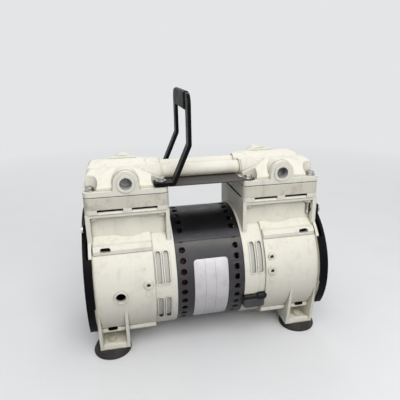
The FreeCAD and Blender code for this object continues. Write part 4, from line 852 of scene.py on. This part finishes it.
def merged(name: str, pieces: Sequence[Piece]) -> Piece:
    """Join several fresh meshes into one piece.

    Args:
        name: the joined piece's name.
        pieces: the pieces, each with its place in its mesh.

    Returns:
        The joined piece.
    """
    points, polygons, smooth = [], [], []
    start = 0
    for piece in pieces:
        mesh = piece.data
        points.append(corner_points(mesh))
        polygons += [[corner + start for corner in face.vertices] for face in mesh.polygons]
        shade = np.empty(len(mesh.polygons), dtype=bool)
        mesh.polygons.foreach_get("use_smooth", shade)
        smooth.append(shade)
        start += len(mesh.vertices)
        bpy.data.objects.remove(piece)
        bpy.data.meshes.remove(mesh)
    joined = bpy.data.meshes.new(name)
    joined.from_pydata(np.concatenate(points).tolist(), [], polygons)
    joined.polygons.foreach_set("use_smooth", np.concatenate(smooth))
    joined.update()
    return linked(name, joined)


def outward(piece: Piece) -> Piece:
    """Turn a closed mesh's faces outwards if its signed volume is negative.

    The volume is the sum over the faces of the corners' triple products.

    Args:
        piece: the piece.

    Returns:
        The same piece.
    """
    mesh = piece.data
    mesh.calc_loop_triangles()
    corners = np.empty(len(mesh.loop_triangles) * 3, dtype=np.int32)
    mesh.loop_triangles.foreach_get("vertices", corners)
    first, second, third = corner_points(mesh)[corners.reshape(-1, 3)].transpose(1, 0, 2)
    if np.einsum("ij,ij->i", first, np.cross(second, third)).sum() < 0:
        mesh.flip_normals()
    return piece


def finished(piece: Piece, finish: Finish, body: str, *nodes: str) -> Piece:
    """Dress a new piece and let it ride.

    Args:
        piece: the piece.
        finish: its finish.
        body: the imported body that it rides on.
        nodes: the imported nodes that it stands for.

    Returns:
        The same piece.
    """
    outward(piece)
    piece.data.materials.append(finish.built())
    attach(piece, body)
    if nodes:
        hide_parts(*nodes)
    return piece


def turned(profile: Array, centre: Triple, steps: int = 96) -> Array:
    """Turn a profile round an upright axis.

    Args:
        profile: (radius, height) points, in metres.
        centre: the axis's foot.
        steps: points round the axis.

    Returns:
        The grid: radius times the cosine and sine of the turn, and the height.
    """
    turn = np.linspace(0.0, TURN, steps, endpoint=False)
    radius, height = profile[:, 0][:, None], profile[:, 1][:, None]
    points = np.stack([radius * np.cos(turn), radius * np.sin(turn), height + 0 * turn], axis=-1)
    return points + np.array(centre)


def rounded(corners: Sequence[Span], radii: Sequence[float], steps: int = 6) -> Array:
    """Round the corners of an open outline.

    Each corner becomes a quadratic curve between points one radius before and after it.

    Args:
        corners: the outline's points.
        radii: how far the rounding starts from each corner.
        steps: points in each rounding.

    Returns:
        The outline's points as an array.
    """
    outline = np.array(corners, dtype=float)
    share = np.linspace(0.0, 1.0, steps)[:, None]
    points = [outline[:1]]
    for before, corner, after, radius in zip(outline, outline[1:], outline[2:], radii[1:]):
        back, ahead = before - corner, after - corner
        near, far = np.linalg.norm(back), np.linalg.norm(ahead)
        reach = min(radius, near / 2, far / 2)
        start, end = corner + back / near * reach, corner + ahead / far * reach
        points.append((1 - share) ** 2 * start + 2 * share * (1 - share) * corner
                      + share ** 2 * end)
    points.append(outline[-1:])
    return np.concatenate(points)


def superellipse(around: Array, power: float) -> Array:
    """Work out a superellipse's radius: |cos|^power plus |sin|^power, to the -1/power."""
    return (np.abs(np.cos(around)) ** power + np.abs(np.sin(around)) ** power) ** (-1 / power)


@dataclass
class MotorSection:
    """The blank rating plate on the shell, and the coil ends that show through its holes."""

    shell_radius: float = 87.0 * MM
    plate_thickness: float = 0.35 * MM
    plate_ends: Span = (-24.0 * MM, 25.0 * MM)
    plate_angles: Span = (-47.5, 26.6)
    plate_corner: float = 5.0 * MM
    plate_rows: int = 90
    plate_section: Tuple[Span, ...] = (
        (-1.0, -1.0), (-1.0, 0.55), (-0.985, 1.0), (-0.5, 1.0), (0.0, 1.0), (0.5, 1.0),
        (0.985, 1.0), (1.0, 0.55), (1.0, -1.0), (0.0, -1.0))
    coil_start: float = 30.0 * MM
    coil_radius: float = 52.0 * MM
    coil_grid: Tuple[int, int] = (360, 60)
    coil_power: float = 4.0
    coil_slots: int = 24
    coil_strands: int = 15
    coil_bulge: float = 0.9 * MM
    coil_strand_depth: float = 0.35 * MM

    def rating_plate(self) -> Piece:
        """Build the blank plate, wrapped round the shell.

        Rows run along the arc. The half width at a distance v from the plate's middle is its full
        value, less what a quarter circle of the corner's radius takes off near the two ends. Each
        row is a thin closed section with softened edges, in shares of the half width and the
        thickness, whose foot lies inside the shell's sheet.

        Returns:
            The plate.
        """
        low, high = np.radians(self.plate_angles)
        left, right = self.plate_ends
        half_width = (right - left) / 2
        half_arc = (high - low) / 2 * self.shell_radius
        corner = self.plate_corner
        run = half_arc * np.sin(np.linspace(-math.pi / 2, math.pi / 2, self.plate_rows))[:, None]
        past = np.clip(np.abs(run) - (half_arc - corner), 0.0, corner)
        reach = half_width - corner + np.sqrt(corner ** 2 - past ** 2)
        across, lift = np.array(self.plate_section).T
        angle = run / self.shell_radius + (low + high) / 2
        radius = self.shell_radius + lift[None, :] * self.plate_thickness
        points = np.stack([(left + right) / 2 + reach * across[None, :], -radius * np.cos(angle),
                           CRANK_HEIGHT + radius * np.sin(angle)], axis=-1)
        return surface("rating_plate", points)

    def coil(self, side: Side) -> Piece:
        """Build one coil end of the motor.

        The section is a rounded square whose size swells once a slot; strands are a second wave
        that runs round the section and slips as it goes round the motor.

        Args:
            side: which end.

        Returns:
            The coil.
        """
        low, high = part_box("windings")
        outer = (high.z - low.z) / 2 - self.coil_bulge
        inner = self.coil_radius + self.coil_bulge
        depth = high.x - self.coil_start
        rows, columns = self.coil_grid
        around = np.linspace(0.0, TURN, rows, endpoint=False)[:, None]
        section = np.linspace(0.0, TURN, columns, endpoint=False)[None, :]
        swell = self.coil_bulge * (np.abs(np.sin(around * self.coil_slots / 2)) - 1.0)
        strand = self.coil_strand_depth * np.cos(section * self.coil_strands
                                                 + around * self.coil_slots)
        shape = superellipse(section, self.coil_power)
        half_depth = depth / 2 - self.coil_bulge + swell + strand
        half_height = (outer - inner) / 2 + swell + strand
        radius = (outer + inner) / 2 + half_height * shape * np.sin(section)
        along = (side.value * (self.coil_start + depth / 2)
                 + half_depth * shape * np.cos(section))
        points = np.stack([along, radius * np.cos(around),
                           CRANK_HEIGHT + radius * np.sin(around)], axis=-1)
        loop = np.concatenate([points, points[:1]])
        return surface(f"coil_end_{side.word}", loop, capped=False)

    def build(self) -> List[Piece]:
        """Dress the motor.

        Returns:
            The plate and the coil ends.
        """
        plate = finished(self.rating_plate(), Finish.plate_foil, PUMP)
        coils = merged("coil_ends", [self.coil(side) for side in Side])
        return [plate, finished(coils, Finish.copper, PUMP, "windings")]


@dataclass
class HexScrews:
    """Plated hexagon screws with washers on the heads.

    head_rows are the hexagon's rows above its foot, up to its sunk top: the radius in halves of
    the flats, and how far the row lies below the top. The foot is as wide as the first row.
    """

    across_flats: float = 10.0 * MM
    head_height: float = 4.2 * MM
    head_rows: Tuple[Span, ...] = (
        (1.2, 1.1 * MM), (1.08, 0.5 * MM), (0.97, 0.12 * MM), (0.9, 0.0), (0.72, 0.25 * MM),
        (0.2, 0.3 * MM))
    washer_radius: float = 7.3 * MM
    washer_height: float = 1.2 * MM
    washer_edge: float = 0.3 * MM
    shank_radius: float = 3.0 * MM
    shank_length: float = 30.0 * MM
    long_shank: float = 59.0 * MM
    thread_pitch: float = 1.0 * MM
    thread_depth: float = 0.45 * MM
    tip_height: float = 0.6 * MM
    tip_slope: float = 0.8 * MM
    inner_station: float = 61.5 * MM
    outer_station: float = 155.1 * MM
    reach: float = 51.5 * MM
    flange_top: float = 242.5 * MM
    bridge_top: float = 244.0 * MM
    strap_top: float = 248.7 * MM
    turns: Tuple[float, ...] = (12.0, 41.0, 3.0, 27.0, 50.0, 19.0, 33.0, 8.0)
    long_one: int = 3
    steps: int = 96

    def thread(self, length: float) -> List[Span]:
        """Work out a shank's tip, whose thread has crests and roots by turns.

        Args:
            length: the shank's length.

        Returns:
            Rows of radius and height, from the tip upwards.
        """
        if length <= self.shank_length:
            return [(self.shank_radius, -length)]
        heights = np.arange(self.tip_height - length, -self.shank_length, self.thread_pitch / 2)
        roots = np.arange(len(heights)) % 2 * self.thread_depth
        tip = (self.shank_radius - self.tip_slope, -length)
        return [tip] + list(zip((self.shank_radius - roots).tolist(), heights.tolist()))

    def seats(self) -> List[Triple]:
        """Find the middle of each washer's underside.

        Returns:
            The places, front row first and each row from the left.
        """
        row = ((-self.outer_station, self.flange_top), (-self.inner_station, self.strap_top),
               (self.inner_station, self.bridge_top), (self.outer_station, self.flange_top))
        return [(x, self.reach * edge.value, z) for edge in Edge for x, z in row]

    def screw(self, name: str, seat: Triple, turn: float, length: float) -> Piece:
        """Build one screw.

        Across the hexagon the radius is half the flats over the cosine of the angle from the
        nearest flat's middle; a cone over it takes the corners off, as the smaller of the two.

        Args:
            name: the piece's name.
            seat: the middle of the washer's underside.
            turn: how far the hexagon is turned, in degrees.
            length: the shank's length under the washer.

        Returns:
            The screw.
        """
        around = np.linspace(0.0, TURN, self.steps, endpoint=False)
        phase = np.mod(around + math.radians(turn), TURN / 6) - TURN / 12
        half, edge, base = self.across_flats / 2, self.washer_edge, self.washer_height
        round_rows = np.array(self.thread(length) + [
            (self.shank_radius, 0.0), (self.washer_radius - edge, 0.0),
            (self.washer_radius, edge), (self.washer_radius, base - edge),
            (self.washer_radius - edge, base)])
        foot = (self.head_rows[0][0], self.head_height)
        cone, drop = np.array((foot,) + self.head_rows).T
        hexagon = np.minimum(cone[:, None] * half, half / np.cos(phase))
        radius = np.concatenate([round_rows[:, :1] + 0 * around, hexagon])
        height = np.concatenate([round_rows[:, 1], base + self.head_height - drop])[:, None]
        points = np.stack([radius * np.cos(around), radius * np.sin(around),
                           height + 0 * radius], axis=-1)
        return surface(name, points + np.array(seat), smooth=False)

    def build(self) -> List[Piece]:
        """Dress the screws.

        Returns:
            One piece that holds them all.
        """
        screws = []
        for index, (seat, turn) in enumerate(zip(self.seats(), self.turns)):
            length = self.long_shank if index == self.long_one else self.shank_length
            screws.append(self.screw(f"screw_{index}", seat, turn, length))
        return [finished(merged("hex_screws", screws), Finish.zinc, PUMP, "head_screws")]


@dataclass
class RubberFeet:
    """Four soft feet, each turned from one rounded profile.

    softness is how far each corner of the profile is rounded, in the profile's order.
    """

    radius: float = 27.0 * MM
    neck_radius: float = 23.4 * MM
    neck_depth: float = 3.0 * MM
    neck_slope: float = 0.6 * MM
    height: float = 10.6 * MM
    shoulder_height: float = 4.6 * MM
    rim_height: float = 2.6 * MM
    rim_inset: float = 0.2 * MM
    recess_radius: float = 9.0 * MM
    recess_depth: float = 5.0 * MM
    hole_radius: float = 3.1 * MM
    step: float = 0.9 * MM
    softness: Tuple[float, ...] = (0.0, 1.6 * MM, 2.0 * MM, 2.0 * MM, 1.4 * MM, 1.2 * MM,
                                   1.0 * MM, 0.6 * MM, 0.4 * MM, 0.0)

    def profile(self) -> Array:
        """Draw the foot's section from its screw hole over the top to the recess.

        Returns:
            The outline with its corners rounded.
        """
        corners = [(self.hole_radius, self.height), (self.neck_radius, self.height),
                   (self.neck_radius + self.neck_slope, self.height - self.neck_depth),
                   (self.radius - self.step, self.shoulder_height),
                   (self.radius, self.rim_height), (self.radius - self.rim_inset, 0.0),
                   (self.recess_radius, 0.0), (self.recess_radius, self.recess_depth),
                   (self.hole_radius, self.recess_depth), (self.hole_radius, self.height)]
        return rounded(corners, self.softness)

    def build(self) -> List[Piece]:
        """Dress the feet.

        Returns:
            The four feet.
        """
        feet = []
        for node in (f"foot_{edge.word}_{side.word}" for edge in Edge for side in Side):
            low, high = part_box(node)
            centre = ((low.x + high.x) / 2, (low.y + high.y) / 2, 0.0)
            foot = surface(f"rubber_{node}", turned(self.profile(), centre), capped=False)
            feet.append(finished(foot, Finish.foot_rubber, PUMP, node))
        return feet


@dataclass
class LeadBoot:
    """Moulded boot over the motor leads: a rod on top that swells into a ball, and a flat skirt.

    skirt_rows are the skirt's rows from near its back to the middle of its face: the share of the
    outline's size, and the depth behind the face.
    """

    rod_radius: float = 4.2 * MM
    ball_radius: float = 6.4 * MM
    tip_radius: float = 0.02 * MM
    swell_start: float = 19.0 * MM
    swell_length: float = 5.0 * MM
    rod_grid: Tuple[int, int] = (72, 64)
    skirt_top: float = 9.5 * MM
    skirt_foot: float = 7.0 * MM
    skirt_inset: float = 2.4 * MM
    skirt_left: float = 1.0 * MM
    skirt_right: float = 4.2 * MM
    skirt_power: float = 5.0
    skirt_steps: int = 96
    skirt_rows: Tuple[Span, ...] = ((1.0, 1.4 * MM), (0.995, 0.7 * MM), (0.975, 0.2 * MM),
                                    (0.94, 0.0), (0.6, 0.0), (0.05, 0.0))

    def rod(self) -> Piece:
        """Build the rod with its ball.

        Both lie on one axis along X. The radius swells from the rod's to the ball's by a smooth
        step, and each end closes with a circle's quarter.

        Returns:
            The rod.
        """
        low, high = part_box("cable_gland")
        length = high.x - low.x
        rows, columns = self.rod_grid
        run = length * (1 - np.cos(np.linspace(0.0, math.pi, rows))) / 2
        rise = np.clip((run - self.swell_start) / self.swell_length, 0.0, 1.0)
        body = self.rod_radius + (self.ball_radius - self.rod_radius) * rise ** 2 * (3 - 2 * rise)
        left = np.clip(1 - run / self.rod_radius, 0.0, 1.0)
        right = np.clip((run - length) / self.ball_radius + 1, 0.0, 1.0)
        ends = np.sqrt(1 - left ** 2) * np.sqrt(1 - right ** 2)
        radius = (body * ends + self.tip_radius)[:, None]
        around = np.linspace(0.0, TURN, columns, endpoint=False)[None, :]
        points = np.stack([low.x + run[:, None] + 0 * around,
                           low.y + self.ball_radius - radius * np.cos(around),
                           high.z - self.ball_radius + radius * np.sin(around)], axis=-1)
        return surface("lead_boot", points)

    def skirt(self) -> Piece:
        """Build the skirt.

        Its outline is a superellipse across X and Z; rows carry it from the back to the front,
        where it shrinks over a soft edge to the middle of the face.

        Returns:
            The skirt.
        """
        low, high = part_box("cable_gland")
        top, foot = high.z - self.skirt_top, low.z + self.skirt_foot
        left, right = low.x + self.skirt_left, high.x - self.skirt_right
        around = np.linspace(0.0, TURN, self.skirt_steps, endpoint=False)[None, :]
        front = low.y + self.skirt_inset
        scale, depth = np.array(((1.0, high.y - front),) + self.skirt_rows).T[:, :, None]
        shape = scale * superellipse(around, self.skirt_power)
        points = np.stack([(left + right) / 2 + (right - left) / 2 * shape * np.cos(around),
                           front + depth + 0 * around,
                           (top + foot) / 2 + (top - foot) / 2 * shape * np.sin(around)], axis=-1)
        return surface("boot_skirt", points)

    def build(self) -> List[Piece]:
        """Dress the boot.

        Returns:
            The rod and the skirt.
        """
        return [finished(self.rod(), Finish.black_plastic, PUMP, "cable_gland"),
                finished(self.skirt(), Finish.boot_skirt, PUMP)]


@dataclass
class PortThreads:
    """Cut pipe threads and faced end walls that line the four ports."""

    station: float = 108.3 * MM
    height: float = 250.8 * MM
    face: float = 63.0 * MM
    face_inset: float = 0.8 * MM
    outer_radius: float = 8.15 * MM
    crest_radius: float = 7.35 * MM
    root_wall: float = 0.1 * MM
    mouth_wall: float = 0.05 * MM
    depth: float = 18.0 * MM
    end_depth: float = 20.9 * MM
    end_radius: float = 0.1 * MM
    end_wall: float = 0.4 * MM
    pitch: float = 1.41 * MM
    chamfer: float = 1.2 * MM
    grid: Tuple[int, int] = (104, 64)

    def liner(self, side: Side, edge: Edge) -> Piece:
        """Build one port's lining.

        The inner radius is the crest's, plus a triangle wave of the depth along the bore that
        slips by one pitch a turn; a chamfer opens it at the mouth. The outer radius lies just
        inside the bore's wall, and both run in to a thin wall across the bore's end.

        Args:
            side, edge: which port.

        Returns:
            The lining.
        """
        rows, columns = self.grid
        around = np.linspace(0.0, TURN, columns, endpoint=False)[None, :]
        run = np.linspace(0.0, self.depth, rows)[:, None]
        phase = np.mod(run / self.pitch + around / TURN * edge.value, 1.0)
        room = self.outer_radius - self.crest_radius - self.root_wall
        mouth = np.clip(self.chamfer - run, 0.0, None)
        inner = np.minimum(self.crest_radius + room * np.abs(2 * phase - 1) + mouth,
                           self.outer_radius - self.mouth_wall)
        ends = np.array([self.end_radius, self.outer_radius, self.outer_radius])[:, None]
        tail = np.array([self.outer_radius - self.end_wall, self.end_radius])[:, None]
        spread = np.ones_like(around)
        radius = np.concatenate([ends * spread, inner, tail * spread])
        end, wall = self.end_depth, self.end_depth - self.end_wall
        along = self.face - self.face_inset - np.concatenate(
            [[[end], [end], [0.0]], run, [[wall], [wall]]])
        points = np.stack([side.value * self.station + radius * np.cos(around),
                           edge.value * (along + 0 * around),
                           self.height + radius * np.sin(around)], axis=-1)
        loop = np.concatenate([points, points[:1]])
        return surface(f"thread_{edge.word}_{side.word}", loop, capped=False)

    def build(self) -> List[Piece]:
        """Dress the ports.

        Returns:
            One piece that lines them all.
        """
        linings = [outward(self.liner(side, edge)) for side in Side for edge in Edge]
        return [finished(merged("port_threads", linings), Finish.thread_metal, PUMP)]


@dataclass
class Studio:
    """Pale floor, plain soft light and the camera that the photograph was taken with.

    Each lamp has a name, a place, a size in metres and a power in watts. The floor sends back the
    light of its bounce colour and shows the camera its pale one.
    """

    camera_place: Triple = (-0.1141, -0.5780, 0.4016)
    yaw: float = 0.199
    pitch: float = 0.331
    roll: float = -0.016
    focal_pixels: float = 406.71
    frame_pixels: float = 400.0
    sensor_width: float = 36.0
    nearest: float = 0.01
    floor_half: float = 6.0
    backdrop: Triple = (228, 229, 230)
    floor_light: Triple = (232, 232, 233)
    floor_clouds: Pattern = Pattern(9.0)
    floor_roughness: float = 0.9
    bounce: Triple = (124, 125, 127)
    fade: Span = (0.45, 1.5)
    sky_colour: Triple = (0.98, 0.99, 1.0)
    sky_strength: Span = (0.08, 0.72)
    aim: Triple = (0.0, 0.0, 0.12)
    lamps: Tuple[Tuple[str, Triple, float, float], ...] = (
        ("key", (0.02, -0.95, 1.28), 1.1, 12.2),
        ("fill", (0.25, -1.40, 0.70), 1.0, 4.4),
        ("back", (0.10, 1.12, 1.24), 1.0, 5.0))

    def floor(self) -> Piece:
        """Lay the pale floor, which isn't part of the pump, and let it fade into the backdrop.

        Returns:
            The floor.
        """
        side = np.array([-self.floor_half, self.floor_half])
        across, along = np.meshgrid(side, side)
        plane = surface("studio_floor", np.stack([across, along, 0 * across], axis=-1),
                        closed=False, capped=False)
        graph = Graph("studio_floor")
        seen = graph.seen()
        pale = graph.blend(graph.spread(self.floor_clouds), self.backdrop, self.floor_light)
        graph.join(graph.blend(seen, self.bounce, pale), graph.shader.inputs["Base Color"])
        graph.shader.inputs["Roughness"].default_value = self.floor_roughness
        glow = graph.add("ShaderNodeEmission")
        glow.inputs["Color"].default_value = linear(*self.backdrop)
        far = graph.add("ShaderNodeVectorMath", operation="LENGTH")
        graph.join(graph.place, far.inputs[0])
        share = graph.math("MULTIPLY", graph.ramp(far.outputs["Value"], self.fade), seen)
        mixed = graph.mixed(share, graph.shader.outputs["BSDF"], glow.outputs["Emission"])
        graph.join(mixed, graph.output.inputs["Surface"])
        plane.data.materials.append(graph.material)
        return plane

    def light(self) -> None:
        """Hang the lamps, and set the world, which the camera sees as pale backdrop."""
        for name, place, extent, power in self.lamps:
            lamp = bpy.data.lights.new(name, "AREA")
            lamp.size, lamp.energy = extent, power
            holder = linked(name, lamp)
            holder.location = place
            sight = Vector(self.aim) - Vector(place)
            holder.rotation_euler = sight.to_track_quat("-Z", "Y").to_euler()
        world = bpy.data.worlds.new("studio_world")
        bpy.context.scene.world = world
        world.use_nodes = True
        nodes = Nodes(world.node_tree)
        sky, wall = (nodes.add("ShaderNodeBackground") for _ in range(2))
        sky.inputs["Color"].default_value = (*self.sky_colour, 1.0)
        wall.inputs["Color"].default_value = linear(*self.backdrop)
        way = nodes.add("ShaderNodeSeparateXYZ")
        nodes.join(nodes.add("ShaderNodeTexCoord").outputs["Generated"], way.inputs[0])
        strength = nodes.ramp(way.outputs["Z"], (0.0, 1.0), self.sky_strength)
        nodes.join(strength, sky.inputs["Strength"])
        mixed = nodes.mixed(nodes.seen(), sky.outputs["Background"], wall.outputs["Background"])
        nodes.join(mixed, nodes.add("ShaderNodeOutputWorld").inputs["Surface"])

    def camera(self) -> None:
        """Place the camera: forward from yaw and pitch, then rolled about the view."""
        yaw, pitch, roll = self.yaw, self.pitch, self.roll
        forward = Vector((math.sin(yaw) * math.cos(pitch), math.cos(yaw) * math.cos(pitch),
                          -math.sin(pitch)))
        level = Vector((math.cos(yaw), -math.sin(yaw), 0.0))
        up = level.cross(forward)
        right = level * math.cos(roll) + up * math.sin(roll)
        top = up * math.cos(roll) - level * math.sin(roll)
        data = bpy.data.cameras.new("photo_camera")
        data.sensor_width = self.sensor_width
        data.lens = self.focal_pixels / self.frame_pixels * self.sensor_width
        data.clip_start = self.nearest
        eye = linked("photo_camera", data)
        turn = Matrix((right, top, -forward)).transposed()
        eye.matrix_world = Matrix.Translation(self.camera_place) @ turn.to_4x4()
        bpy.context.scene.camera = eye

    def build(self) -> List[Piece]:
        """Set the stage.

        Returns:
            The floor.
        """
        floor = self.floor()
        self.light()
        self.camera()
        bpy.context.scene.view_settings.view_transform = "Standard"
        return [floor]


def main() -> None:
    """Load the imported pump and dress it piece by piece."""
    logging.basicConfig(level=logging.INFO, format="%(message)s")
    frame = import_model()
    for part in frame["record"]["subparts"]:
        finish = FINISH_OF.get(part["node"], Finish[part["material_slot"]])
        paint_node(frame, part["node"], finish)
        LOG.info("%s: %s", part["node"], finish.name)
    for assembly in (MotorSection(), HexScrews(), RubberFeet(), LeadBoot(), PortThreads(),
                     Studio()):
        for piece in assembly.build():
            LOG.info("%s: %s", type(assembly).__name__, piece.name)


if __name__ == "__main__":
    main()
